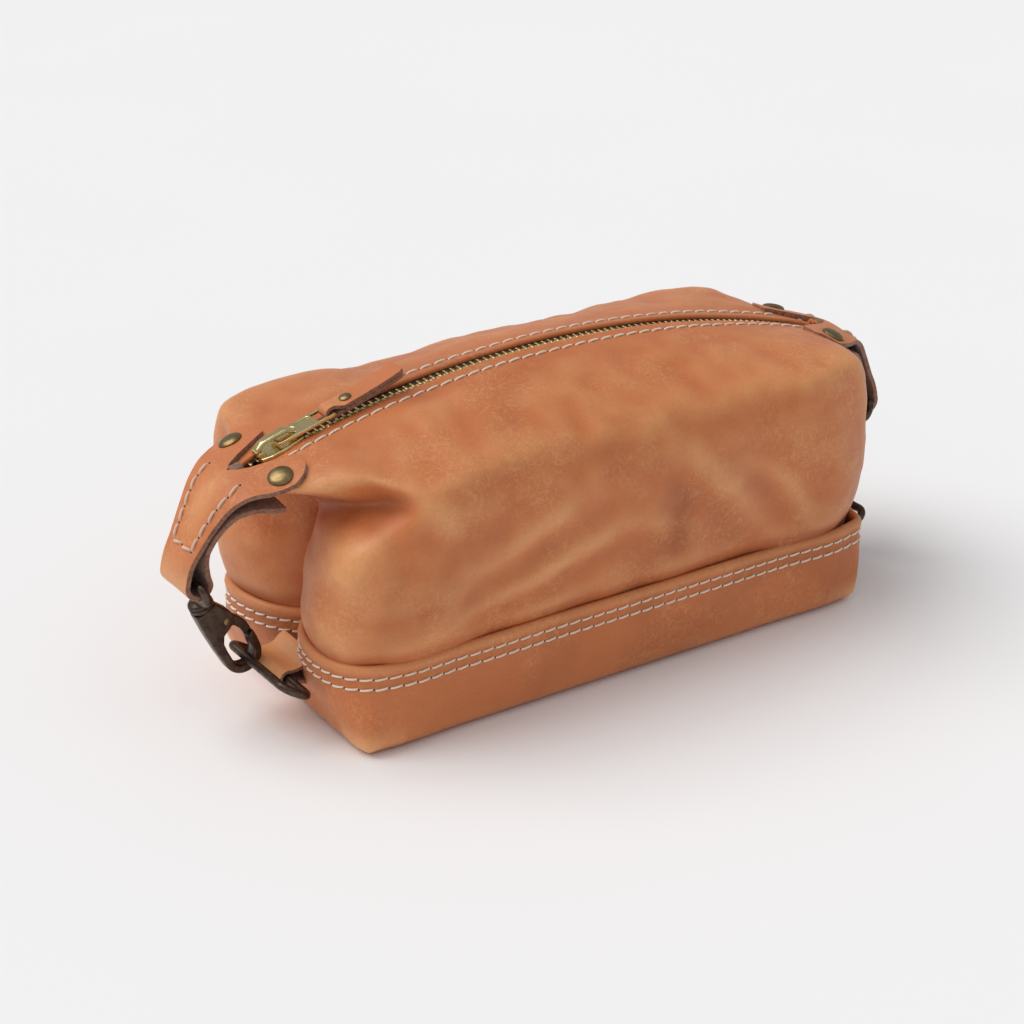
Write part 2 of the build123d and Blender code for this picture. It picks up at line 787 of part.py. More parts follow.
def gate_spring():
    """Flat spring in the body's slot, behind the gate."""
    half = gate_root_thickness / 2
    return block(
        (slot_back_w, gate_pin_u - gate_spring_rise, -half),
        (slot_back_w + gate_spring_thickness, gate_pin_u + gate_spring_drop, half),
    )


# Ring and keeper ----------------------------------------------------------------------------------


# The ring's outer bar lies in the middle of the hook, and its inner bar in the keeper.
ring_rise = degrees(asin((hook_z - keeper_z) / ring_reach))
keeper_x = -(hook_x + ring_reach * cos(radians(ring_rise)))


def ring():
    """Rectangular wire ring with rounded corners, its inner long bar in the keeper."""
    half = ring_length / 2 - ring_wire_radius
    path = Pos(-ring_reach / 2, 0) * RectangleRounded(ring_reach, 2 * half, ring_bend)
    wire = path.wire()
    start = wire @ 0
    section = Plane(start, z_dir=wire % 0) * Circle(ring_wire_radius)
    loop = sweep(section, path=wire)
    return Pos(-keeper_x, ring_y, keeper_z) * Rot(0, ring_rise, 0) * loop


def keeper(base):
    """Leather loop sewn to the end of the base panel, round the ring's inner bar."""
    inner = ring_wire_radius + keeper_clearance
    outer = inner + keeper_leather
    foot = bag_length / 2 - end_valley - keeper_root
    drop = keeper_foot_height / 2
    loop = cylinder_y(outer, keeper_width / 2, -keeper_x, keeper_z, keeper_y)
    lower = keeper_z - outer
    leaf = [
        (-keeper_x, keeper_z + outer),
        (-keeper_x, lower),
        (-foot, keeper_z - drop),
        (-foot, keeper_z + drop),
    ]
    solid = loop + prism_y(leaf, keeper_width / 2, keeper_y)
    bore = cylinder_y(inner, keeper_width, -keeper_x, keeper_z, keeper_y)
    hollow = prism_y(
        [
            (-keeper_x, keeper_z + inner),
            (-keeper_x, keeper_z - inner),
            (-keeper_x + keeper_hollow, keeper_z),
        ],
        keeper_width,
        keeper_y,
    )
    return solid - bore - hollow - base


# Build and write ----------------------------------------------------------------------------------


def write(name, shape):
    """Write one node: a solid, or a list of separate solids as a group."""
    if isinstance(shape, list):
        shape = Compound(children=shape)
    export_step(shape, f"parts/{name}.step")


def filled_base():
    """The base panel's outer form without its hollow, which the keeper is cut back to."""
    outline = make_face(Polyline(*band_outline(bag_length / 2, bag_width / 2), close=True))
    return extrude(outline, band_height)


os.makedirs("parts", exist_ok=True)

base = base_panel()
write("base_panel", base)
shell = upper_shell()
write("front_panel", half_of(shell, -1))
write("back_panel", half_of(shell, 1))

for name, side in (("front", -1), ("back", 1)):
    write(f"mouth_edge_{name}", mouth_edge(side))
    write(f"zip_tape_{name}", tape_strip(side, -mouth_half_length, mouth_half_length, tape_half_width))
    write(f"zip_teeth_{name}", teeth(side, -mouth_half_length, mouth_half_length))

for name, end in (("left", -1), ("right", 1)):
    near = min(end * (mouth_half_length + body_gap), end * zip_end_x)
    far = max(end * (mouth_half_length + body_gap), end * zip_end_x)
    write(f"zip_end_tape_{name}", [tape_strip(side, near, far, slot_half_width) for side in (-1, 1)])
    write(f"zip_end_teeth_{name}", teeth(-1, near, far) + teeth(1, near, far))
write("zip_top_stops", zip_stops(-1, False))
write("zip_bottom_stop", zip_stops(1, True))

write("zip_slider", on_slider(slider_body()))
write("slider_bridge", on_slider(slider_bridge()))
write("pull_tab", on_slider(pull_tab()))
write("leather_pull", on_slider(leather_pull()))
write("pull_rivet", on_slider(pull_rivet()))

left_end = {
    "end_strap": end_strap(),
    "strap_rivets": [strap_rivet(-1), strap_rivet(1)],
    "snap_eye": on_snap(snap_eye()),
    "snap_body": on_snap(snap_body()),
    "snap_gate": on_snap(snap_gate()),
    "gate_pin": on_snap(gate_pin()),
    "gate_spring": on_snap(gate_spring()),
    "ring": ring(),
    "ring_keeper": keeper(filled_base()),
}
for name, shape in left_end.items():
    write(f"{name}_left", shape)
    if isinstance(shape, list):
        write(f"{name}_right", [mirror(piece, Plane.YZ) for piece in shape])
    else:
        write(f"{name}_right", mirror(shape, Plane.YZ))
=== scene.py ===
"""Looks of a leather shaving kit bag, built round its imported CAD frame.

Sizes are in millimetres and become metres as each mesh is made. X is the bag's length, -Y its front, +Z up.
"""
import json
import logging
import math
from dataclasses import dataclass, field
from enum import Enum
from typing import Iterable, Sequence

import bmesh
import bpy
import numpy as np
from mathutils import Matrix, Vector, noise
from mathutils.bvhtree import BVHTree


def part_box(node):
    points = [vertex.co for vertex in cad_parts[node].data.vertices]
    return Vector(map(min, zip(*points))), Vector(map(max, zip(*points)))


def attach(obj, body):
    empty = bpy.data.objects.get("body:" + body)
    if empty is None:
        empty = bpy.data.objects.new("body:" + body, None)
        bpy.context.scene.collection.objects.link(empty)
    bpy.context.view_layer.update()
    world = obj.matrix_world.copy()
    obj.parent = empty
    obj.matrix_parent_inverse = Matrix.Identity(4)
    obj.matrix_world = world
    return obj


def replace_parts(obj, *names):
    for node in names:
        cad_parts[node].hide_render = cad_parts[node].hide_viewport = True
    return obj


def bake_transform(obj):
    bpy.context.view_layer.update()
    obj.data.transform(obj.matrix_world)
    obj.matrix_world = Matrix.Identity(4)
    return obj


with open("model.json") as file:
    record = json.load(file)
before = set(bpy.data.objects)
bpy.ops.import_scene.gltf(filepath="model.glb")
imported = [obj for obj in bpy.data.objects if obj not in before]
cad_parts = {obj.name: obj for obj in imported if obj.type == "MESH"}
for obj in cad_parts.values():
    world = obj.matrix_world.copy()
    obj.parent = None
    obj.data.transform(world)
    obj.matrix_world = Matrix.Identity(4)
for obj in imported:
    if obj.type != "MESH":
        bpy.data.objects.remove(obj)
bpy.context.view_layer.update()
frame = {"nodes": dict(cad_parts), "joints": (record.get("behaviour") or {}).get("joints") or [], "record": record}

log = logging.getLogger("kit_bag")

MM = 0.001
Array = np.ndarray
Point2 = tuple[float, float]


class Side(Enum):
    """Front or back half of the bag, as the sign of its Y."""

    FRONT = -1
    BACK = 1

    @property
    def word(self) -> str:
        """Name of the side in node and piece names."""
        return self.name.lower()


class End(Enum):
    """Left or right end of the bag, as the sign of its X."""

    LEFT = -1
    RIGHT = 1

    @property
    def word(self) -> str:
        """Name of the end in node and piece names."""
        return self.name.lower()


# Shader graphs


def tone(red: int, green: int, blue: int) -> tuple[float, float, float, float]:
    """Linear colour of a display colour.

    Args:
        red, green, blue: parts from 0 to 255.

    Returns:
        Linear red, green, blue and alpha.
    """
    parts = [c / 255 for c in (red, green, blue)]
    return (*[((c + 0.055) / 1.055) ** 2.4 if c > 0.04045 else c / 12.92 for c in parts], 1.0)


class Value:
    """Output socket whose operators add Math nodes."""

    def __init__(self, graph: "Graph", socket: bpy.types.NodeSocket) -> None:
        """Keeps the graph and the socket."""
        self.graph = graph
        self.socket = socket

    def __add__(self, other: "Value | float") -> "Value":
        """Sum."""
        return self.graph.math("ADD", self, other)

    __radd__ = __add__

    def __sub__(self, other: "Value | float") -> "Value":
        """Difference."""
        return self.graph.math("SUBTRACT", self, other)

    def __rsub__(self, other: float) -> "Value":
        """Difference from a number."""
        return self.graph.math("SUBTRACT", other, self)

    def __mul__(self, other: "Value | float") -> "Value":
        """Product."""
        return self.graph.math("MULTIPLY", self, other)

    __rmul__ = __mul__

    def __abs__(self) -> "Value":
        """Size without its sign."""
        return self.graph.math("ABSOLUTE", self)

    def clamped(self) -> "Value":
        """The value held between 0 and 1."""
        return self.graph.math("ADD", self, 0.0, clamp=True)


class Graph:
    """Node graph of one material."""

    def __init__(self, name: str) -> None:
        """Starts an empty graph in a new material.

        Args:
            name: the material's name.
        """
        self.material = bpy.data.materials.new(name)
        self.material.use_nodes = True
        self.tree = self.material.node_tree
        self.tree.nodes.clear()

    def node(self, kind: str, settings: dict | None = None, inputs: dict | None = None) -> bpy.types.Node:
        """Makes a node.

        Args:
            kind: type of the node.
            settings: its properties, set first; "stops" are the stops of a colour ramp.
            inputs: values or links of its sockets, by name or number.

        Returns:
            The node.
        """
        made = self.tree.nodes.new(kind)
        for name, value in (settings or {}).items():
            if name == "stops":
                self._set_stops(made.color_ramp, value)
            else:
                setattr(made, name, value)
        for name, value in (inputs or {}).items():
            socket = made.inputs[name]
            if isinstance(value, Value):
                self.tree.links.new(value.socket, socket)
            else:
                socket.default_value = value
        return made

    @staticmethod
    def _set_stops(ramp: bpy.types.ColorRamp, stops: Sequence[tuple[float, tuple]]) -> None:
        """Gives a colour ramp its stops, as pairs of place and colour.

        Args:
            ramp: the ramp.
            stops: its places and colours.
        """
        while len(ramp.elements) < len(stops):
            ramp.elements.new(1.0)
        for element, (place, colour) in zip(ramp.elements, stops):
            element.position = place
            element.color = colour

    def out(self, made: bpy.types.Node, socket: str | int = 0) -> Value:
        """Wraps one output of a node."""
        return Value(self, made.outputs[socket])

    def math(self, operation: str, a: "Value | float", b: "Value | float" = 0.0, clamp: bool = False) -> Value:
        """Adds a Math node on two values."""
        settings = {"operation": operation, "use_clamp": clamp}
        return self.out(self.node("ShaderNodeMath", settings, {0: a, 1: b}))

    def between(self, value: Value, low: float, high: float) -> Value:
        """Smooth step of a value, from 0 at low to 1 at high."""
        settings = {"interpolation_type": "SMOOTHSTEP"}
        inputs = {"Value": value, "From Min": low, "From Max": high}
        return self.out(self.node("ShaderNodeMapRange", settings, inputs))

    def blend(self, a: "Value | tuple", b: "Value | tuple", share: Value, mode: str = "MIX") -> Value:
        """Mixes two colours.

        Args:
            a, b: colours or links of colours.
            share: how much of b.
            mode: the way of blending.

        Returns:
            The mixed colour.
        """
        settings = {"data_type": "RGBA", "blend_type": mode, "clamp_factor": True}
        return self.out(self.node("ShaderNodeMix", settings, {0: share, 6: a, 7: b}), 2)

    def place(self, stretch: tuple[float, float, float] = (1, 1, 1)) -> Value:
        """Place on the object, stretched along its axes.

        Args:
            stretch: factor along each axis.

        Returns:
            The place as a vector.
        """
        here = self.out(self.node("ShaderNodeTexCoord"), "Object")
        if stretch == (1, 1, 1):
            return here
        settings = {"operation": "MULTIPLY"}
        return self.out(self.node("ShaderNodeVectorMath", settings, {0: here, 1: stretch}))

    def noise(self, size: float, detail: float = 2.0, warp: float = 0.0, place: Value | None = None) -> Value:
        """Soft noise.

        Args:
            size: size of its features, in millimetres.
            detail: octaves.
            warp: distortion.
            place: where it is read, or the object's own place.

        Returns:
            A value about 0.5.
        """
        inputs = {"Vector": place or self.place(), "Scale": 1000 / size, "Detail": detail, "Distortion": warp}
        return self.out(self.node("ShaderNodeTexNoise", {}, inputs))

    def cells(self, size: float) -> Value:
        """Soft distance in a cell pattern of the given size, in millimetres."""
        inputs = {"Vector": self.place(), "Scale": 1000 / size}
        return self.out(self.node("ShaderNodeTexVoronoi", {"feature": "SMOOTH_F1"}, inputs), "Distance")

    def attribute(self, name: str) -> Value:
        """Named value that the mesh carries."""
        return self.out(self.node("ShaderNodeAttribute", {"attribute_name": name}), "Fac")

    def bump(self, height: Value, depth: float, strength: float = 1.0, under: Value | None = None) -> Value:
        """Normal bent by a height.

        Args:
            height: height from 0 to 1.
            depth: how high 1 is, in millimetres.
            strength: share of the effect.
            under: the normal that it adds to.

        Returns:
            The bent normal.
        """
        inputs = {"Height": height, "Distance": depth * MM, "Strength": strength}
        if under is not None:
            inputs["Normal"] = under
        return self.out(self.node("ShaderNodeBump", {}, inputs))

    def surface(self, inputs: dict) -> bpy.types.Material:
        """Ends the graph with the main shader, and returns the material."""
        shader = self.node("ShaderNodeBsdfPrincipled", {}, inputs)
        self.node("ShaderNodeOutputMaterial", {}, {"Surface": self.out(shader)})
        return self.material


# Finishes


@dataclass(frozen=True)
class PullUpLeather:
    """Waxed leather that lightens where it bends, with darker patches and fine creases, painted shade in hollows and
    painted highlight on ridge crests.
    """

    name: str = "tan_leather"
    slot: str = "tan_leather"
    base: tuple = tone(204, 118, 66)
    dark: tuple = tone(162, 84, 42)
    light: tuple = tone(244, 182, 122)
    patch_size: float = 70.0
    grain_depth: float = 0.10
    crease_depth: float = 0.08

    def make(self) -> bpy.types.Material:
        """Builds the material.

        Returns:
            The material.
        """
        g = Graph(self.name)
        patches = g.noise(self.patch_size, 3.0, 0.6)
        mottle = g.noise(9.0, 4.0, 0.8)
        wear = g.attribute("wear")
        shade = g.attribute("shade")
        darkness = g.between(patches + 0.25 * (mottle - 0.5), 0.46, 0.70)
        # Painted shade: the mesh's shade value darkens the colour in hollows, sunk folds and low on the panels by
        # the band.
        colour = g.blend(self.base, self.dark, (0.50 * darkness + 0.8 * shade).clamped())
        colour = g.blend(colour, tone(212, 122, 70), 0.30 * g.between(g.noise(38.0, 2.0, 0.3), 0.5, 0.8))
        fine = g.noise(1.6, 3.0, 0.4)
        wisps = self._wisps(g)
        # Lightening from the mesh's value: the leather's own pull-up lightening at bends and worn corners, and on
        # the panels also painted highlight on ridge crests.
        lift = (wear + 0.22 * (mottle - 0.45)).clamped()
        colour = g.blend(colour, self.light, (0.85 * lift).clamped())
        colour = g.blend(colour, self.light, 0.26 * wisps)
        colour = g.blend(colour, self.dark, 0.14 * g.between(fine, 0.40, 0.80))
        pores = g.cells(1.15)
        grain = g.bump(pores + 0.5 * fine, self.grain_depth)
        creased = g.bump(wisps, self.crease_depth, under=grain)
        waves = g.bump(g.noise(16.0, 2.0, 0.5), 0.5, 0.5, under=creased)
        roughness = 0.50 + 0.12 * (mottle - 0.5) - 0.06 * wear
        return g.surface({"Base Color": colour, "Roughness": roughness, "Normal": waves,
                          "Specular IOR Level": 0.42, "Sheen Weight": 0.06, "Sheen Roughness": 0.45})

    @staticmethod
    def _wisps(g: Graph) -> Value:
        """Thin curved hairlines in two sizes, kept to loose areas."""
        long_lines = 1.0 - g.between(abs(g.noise(6.0, 1.0, 1.2) - 0.5), 0.0, 0.050)
        short_lines = 1.0 - g.between(abs(g.noise(3.2, 1.0, 1.0) - 0.5), 0.0, 0.060)
        area = g.between(g.noise(30.0, 2.0), 0.42, 0.62)
        return ((0.75 * long_lines + 0.55 * short_lines) * area).clamped()


@dataclass(frozen=True)
class Suede:
    """Raw cut edge and flesh side of the leather."""

    name: str = "suede_edge"
    slot: str = "suede_edge"
    base: tuple = tone(158, 112, 88)
    dark: tuple = tone(104, 68, 50)

    def make(self) -> bpy.types.Material:
        """Builds the material.

        Returns:
            The material.
        """
        g = Graph(self.name)
        fibres = g.noise(0.7, 4.0, 0.5)
        clumps = g.noise(3.2, 3.0, 1.0)
        colour = g.blend(self.base, self.dark, g.between(0.6 * fibres + 0.4 * clumps, 0.38, 0.68))
        nap = g.bump(fibres + 0.5 * clumps, 0.30)
        return g.surface({"Base Color": colour, "Roughness": 0.93, "Normal": nap,
                          "Specular IOR Level": 0.2, "Sheen Weight": 0.25, "Sheen Roughness": 0.6})


@dataclass(frozen=True)
class WaxedThread:
    """Thick waxed thread, twisted from strands."""

    name: str = "waxed_thread"
    slot: str = "waxed_thread"
    base: tuple = tone(240, 228, 208)
    dark: tuple = tone(186, 160, 132)

    def make(self) -> bpy.types.Material:
        """Builds the material.

        Returns:
            The material.
        """
        g = Graph(self.name)
        twist = g.noise(0.45, 2.0, 0.6, g.place((1.0, 1.0, 1.6)))
        soil = g.noise(5.0, 3.0)
        colour = g.blend(self.base, self.dark, 0.55 * g.between(0.7 * twist + 0.3 * soil, 0.45, 0.75))
        strands = g.bump(twist, 0.12)
        return g.surface({"Base Color": colour, "Roughness": 0.62, "Normal": strands,
                          "Sheen Weight": 0.2})


@dataclass(frozen=True)
class WovenTape:
    """Dark herringbone tape of the zip."""

    name: str = "zip_tape"
    slot: str = "zip_tape"
    base: tuple = tone(44, 33, 28)
    dark: tuple = tone(20, 15, 13)

    def make(self) -> bpy.types.Material:
        """Builds the material.

        Returns:
            The material.
        """
        g = Graph(self.name)
        settings = {"wave_type": "BANDS", "bands_direction": "DIAGONAL"}
        inputs = {"Vector": g.place(), "Scale": 420.0, "Distortion": 0.6, "Detail": 1.0}
        ribs = g.out(g.node("ShaderNodeTexWave", settings, inputs), "Fac")
        fuzz = g.noise(0.5, 2.0)
        colour = g.blend(self.dark, self.base, (0.6 * ribs + 0.5 * fuzz).clamped())
        weave = g.bump(ribs, 0.15)
        return g.surface({"Base Color": colour, "Roughness": 0.88, "Normal": weave, "Sheen Weight": 0.1})


@dataclass(frozen=True)
class PlatedMetal:
    """Plated metal with tarnish in patches and brighter specks."""

    name: str
    slot: str
    base: tuple
    tarnish: tuple
    rubbed: tuple
    roughness: float
    tarnish_share: float = 0.5

    def make(self) -> bpy.types.Material:
        """Builds the material.

        Returns:
            The material.
        """
        g = Graph(self.name)
        cloud = g.noise(3.4, 4.0, 0.8)
        speck = g.noise(0.6, 2.0)
        colour = g.blend(self.base, self.tarnish, self.tarnish_share * g.between(cloud, 0.42, 0.66))
        colour = g.blend(colour, self.rubbed, 0.25 * g.between(speck, 0.6, 0.8))
        roughness = self.roughness + 0.16 * (cloud - 0.5) + 0.05 * (speck - 0.5)
        pits = g.bump(speck + cloud, 0.03)
        return g.surface({"Base Color": colour, "Metallic": 1.0, "Roughness": roughness,
                          "Normal": pits})


@dataclass(frozen=True)
class StudioPaper:
    """Matt white floor that runs into the background."""

    name: str = "studio_paper"
    base: tuple = tone(252, 252, 252)

    def make(self) -> bpy.types.Material:
        """Builds the material.

        Returns:
            The material.
        """
        g = Graph(self.name)
        fleck = g.noise(220.0, 2.0)
        colour = g.blend(self.base, tone(250, 250, 250), fleck)
        return g.surface({"Base Color": colour, "Roughness": 0.95, "Specular IOR Level": 0.1})


class Finishes:
    """Every material of the bag, made once."""

    def __init__(self) -> None:
        """Builds the materials."""
        recipes = {
            "leather": PullUpLeather(),
            "suede": Suede(),
            "thread": WaxedThread(),
            "strap_thread": WaxedThread(name="strap_thread", base=tone(226, 190, 168),
                                        dark=tone(186, 142, 118)),
            # Dark brown for the discs at the stitch ends: painted shade of the awl holes.
            "hole": Suede(name="awl_hole", base=tone(58, 34, 22), dark=tone(30, 18, 12)),
            "tape": WovenTape(),
            "teeth": PlatedMetal("zip_brass", "zip_brass", tone(226, 196, 132), tone(150, 116, 62),
                                 tone(250, 232, 180), 0.26, 0.4),
            "polished": PlatedMetal("polished_brass", "polished_brass", tone(222, 204, 150),
                                    tone(186, 160, 104), tone(246, 236, 196), 0.20, 0.3),
            "antique": PlatedMetal("antique_brass", "antique_brass", tone(142, 122, 84), tone(104, 84, 54),
                                   tone(178, 152, 104), 0.34, 0.5),
            "bronze": PlatedMetal("dark_bronze", "dark_bronze", tone(92, 78, 68), tone(58, 46, 40),
                                  tone(120, 84, 56), 0.38, 0.6),
            "steel": PlatedMetal("spring_steel", "spring_steel", tone(150, 150, 152), tone(96, 94, 92),
                                 tone(190, 190, 192), 0.3),
        }
        self.slots = {key: recipe.slot for key, recipe in recipes.items()}
        self.made = {key: recipe.make() for key, recipe in recipes.items()}

    def __getitem__(self, key: str) -> bpy.types.Material:
        """The material of that name."""
        return self.made[key]


# Geometry


def unit(v: Array) -> Array:
    """Vectors scaled to length 1, along the last axis."""
    return v / np.maximum(np.linalg.norm(v, axis=-1, keepdims=True), 1e-9)


def chord_knots(points: Array) -> Array:
    """Knots of a net's first axis, spaced by the mean length between its rows."""
    steps = np.linalg.norm(np.diff(points, axis=0), axis=-1)
    steps = steps.reshape(len(steps), -1).mean(axis=1)
    return np.concatenate([[0.0], np.cumsum(np.maximum(steps, 1e-3))])


def through(points: Array, count: int) -> Array:
    """Smooth curve through points, evenly sampled along the first axis.

    Args:
        points: array whose first axis runs along the curve.
        count: number of samples.

    Returns:
        The samples, with the other axes as they were.
    """
    knots = chord_knots(points)
    extra = (1,) * (points.ndim - 1)
    slopes = np.diff(points, axis=0) / np.diff(knots).reshape(-1, *extra)
    before = np.concatenate([slopes[:1], slopes])
    after = np.concatenate([slopes, slopes[-1:]])
    spans = np.diff(knots)
    span_before = np.concatenate([spans[:1], spans]).reshape(-1, *extra)
    span_after = np.concatenate([spans, spans[-1:]]).reshape(-1, *extra)
    tangents = (before * span_after + after * span_before) / (span_before + span_after)
    where = np.linspace(knots[0], knots[-1], count)
    i = np.clip(np.searchsorted(knots, where, side="right") - 1, 0, len(knots) - 2)
    span = spans[i].reshape(-1, *extra)
    f = ((where - knots[i]) / spans[i]).reshape(-1, *extra)
    p, q, m, n = points[i], points[i + 1], tangents[i] * span, tangents[i + 1] * span
    square, cube = f * f, f * f * f
    return (2 * cube - 3 * square + 1) * p + (cube - 2 * square + f) * m + (3 * square - 2 * cube) * q + (
        cube - square) * n


def grid_normals(grid: Array) -> Array:
    """Normals of a grid of points, from its two directions."""
    return unit(np.cross(np.gradient(grid, axis=1), np.gradient(grid, axis=0)))


def grid_faces(rows: int, columns: int, wrap: bool = False) -> list[tuple[int, ...]]:
    """Faces of a grid of points; a wrapped one is closed along its columns.

    Args:
        rows: rows of points.
        columns: points in each row.
        wrap: whether the last column joins the first.

    Returns:
        The point numbers of each face.
    """
    last = columns if wrap else columns - 1
    faces = []
    for r in range(rows - 1):
        for c in range(last):
            d = (c + 1) % columns
            faces.append((r * columns + c, r * columns + d, (r + 1) * columns + d, (r + 1) * columns + c))
    return faces


def soften(values: Array, passes: int) -> Array:
    """Grid of values smoothed by averaging each with its neighbours.

    Args:
        values: the grid, which can hold several values at each point.
        passes: how often it is averaged.

    Returns:
        The smoothed grid.
    """
    for _ in range(passes):
        padded = np.pad(values, [(1, 1), (1, 1)] + [(0, 0)] * (values.ndim - 2), mode="edge")
        values = (padded[:-2, 1:-1] + padded[2:, 1:-1] + padded[1:-1, :-2] + padded[1:-1, 2:] +
                  2 * padded[1:-1, 1:-1]) / 6
    return values


def smooth_step(x: Array | float, low: float, high: float) -> Array | float:
    """Smooth step from 0 at low to 1 at high."""
    t = np.clip((x - low) / (high - low), 0, 1)
    return t * t * (3 - 2 * t)


def rounded(corners: Sequence[tuple[float, float, float]], steps: int = 6) -> list[Point2]:
    """Closed outline with each corner rounded.

    Args:
        corners: places and radii, in order.
        steps: points on each arc.

    Returns:
        The outline's points.
    """
    outline: list[Point2] = []
    count = len(corners)
    for i, (x, y, radius) in enumerate(corners):
        here = Vector((x, y))
        back = (Vector(corners[i - 1][:2]) - here).normalized()
        ahead = (Vector(corners[(i + 1) % count][:2]) - here).normalized()
        angle = back.angle(ahead)
        if radius <= 0 or angle > math.pi - 0.02:
            outline.append((x, y))
            continue
        reach = radius / math.tan(angle / 2)
        start = here + back * reach
        end = here + ahead * reach
        centre = here + (back + ahead).normalized() * (radius / math.sin(angle / 2))
        first = start - centre
        sweep = first.angle_signed(end - centre)
        for k in range(steps + 1):
            turned = first.copy()
            turned.rotate(Matrix.Rotation(-sweep * k / steps, 2))
            outline.append(tuple(centre + turned))
    return outline


def rounded_box(low: float, high: float, half: float, radius: float, steps: int = 6) -> list[Point2]:
    """Closed outline of a rounded box from low to high along X, and half each way along Y."""
    return rounded([(low, -half, radius), (high, -half, radius), (high, half, radius),
                    (low, half, radius)], steps)


def frame_at(origin: Array, x_axis: Array, y_axis: Array) -> Matrix:
    """Matrix that takes (x, y, z) in a local frame to the bag's frame, in millimetres.

    Args:
        origin: where the local frame stands.
        x_axis: along its X.
        y_axis: near its Y.

    Returns:
        The matrix.
    """
    x = Vector(x_axis).normalized()
    z = x.cross(Vector(y_axis)).normalized()
    y = z.cross(x)
    rows = [[x[k], y[k], z[k], origin[k]] for k in range(3)]
    return Matrix([*rows, [0, 0, 0, 1]])


MIRROR_X = Matrix.Diagonal((-1, 1, 1, 1))
FLAT = Matrix.Identity(4)


def placed(name: str, data: bpy.types.ID) -> bpy.types.Object:
    """Makes an object that holds the data, linked to the scene."""
    made = bpy.data.objects.new(name, data)
    bpy.context.scene.collection.objects.link(made)
    return made


def mesh_of(name: str, points: Iterable, faces: Sequence[tuple[int, ...]]) -> bpy.types.Mesh:
    """Makes a mesh in metres.

    Args:
        name: the mesh's name.
        points: its points, in millimetres.
        faces: the point numbers of each face.

    Returns:
        The mesh.
    """
    mesh = bpy.data.meshes.new(name)
    mesh.from_pydata([tuple(c * MM for c in p) for p in points], [], faces)
    return mesh


def evaluated_mesh(made: bpy.types.Object) -> bpy.types.Mesh:
    """Mesh that an object's modifiers or curve make."""
    bpy.context.view_layer.update()
    graph = bpy.context.evaluated_depsgraph_get()
    return bpy.data.meshes.new_from_object(made.evaluated_get(graph))


@dataclass
class Piece:
    """Mesh being made, in millimetres, before it becomes an object."""

    vertices: list = field(default_factory=list)
    faces: list = field(default_factory=list)
    materials: list = field(default_factory=list)

    def add(self, vertices: Iterable, faces: Iterable, material: int = 0) -> "Piece":
        """Adds a part with its own faces, and returns the piece.

        Args:
            vertices: its points.
            faces: its faces, by number of those points.
            material: number of its material.

        Returns:
            The piece.
        """
        start = len(self.vertices)
        self.vertices.extend([tuple(v) for v in vertices])
        for face in faces:
            self.faces.append(tuple(start + i for i in face))
            self.materials.append(material)
        return self

    def tube(self, path: Array, radii: Sequence[float] | float, sides: int) -> "Piece":
        """Adds a round bar along a path, closed at both ends.

        Args:
            path: points along its middle.
            radii: its radius, or one for each point.
            sides: points round it.

        Returns:
            The piece.
        """
        path = np.asarray(path, float)
        radii = np.broadcast_to(np.asarray(radii, float), len(path))
        ahead = unit(np.gradient(path, axis=0))
        guide = np.array([0.0, 0.0, 1.0]) if abs(ahead[0][2]) < 0.9 else np.array([1.0, 0.0, 0.0])
        rings = []
        for point, tangent, radius in zip(path, ahead, radii):
            across = unit(np.cross(tangent, guide))
            guide = np.cross(across, tangent)
            angles = np.arange(sides) * 2 * math.pi / sides
            rings.append(point + radius * (np.outer(np.cos(angles), across) + np.outer(np.sin(angles), guide)))
        faces = grid_faces(len(rings), sides, wrap=True)
        faces.append(tuple(range(sides))[::-1])
        faces.append(tuple((len(rings) - 1) * sides + k for k in range(sides)))
        return self.add(np.concatenate(rings), faces)

    def lathe(self, profile: Sequence[Point2], place: Matrix = FLAT, sides: int = 40,
              material: int = 0) -> "Piece":
        """Adds a solid turned about its frame's Z, from (radius, height) points.

        Args:
            profile: radius and height of each point.
            place: its frame.
            sides: points round it.
            material: number of its material.

        Returns:
            The piece.
        """
        rings = []
        for radius, height in profile:
            for k in range(sides):
                a = 2 * math.pi * k / sides
                rings.append(place @ Vector((radius * math.cos(a), radius * math.sin(a), height)))
        faces = grid_faces(len(profile), sides, wrap=True)
        faces.append(tuple(range(sides))[::-1])
        faces.append(tuple((len(profile) - 1) * sides + k for k in range(sides)))
        return self.add(rings, faces, material)

    def take(self, mesh: bpy.types.Mesh, place: Matrix = FLAT, material: int = 0) -> "Piece":
        """Adds a mesh that is in millimetres, moved by a matrix."""
        flip = place.determinant() < 0
        faces = [tuple(p.vertices)[::-1] if flip else tuple(p.vertices) for p in mesh.polygons]
        return self.add([place @ v.co for v in mesh.vertices], faces, material)


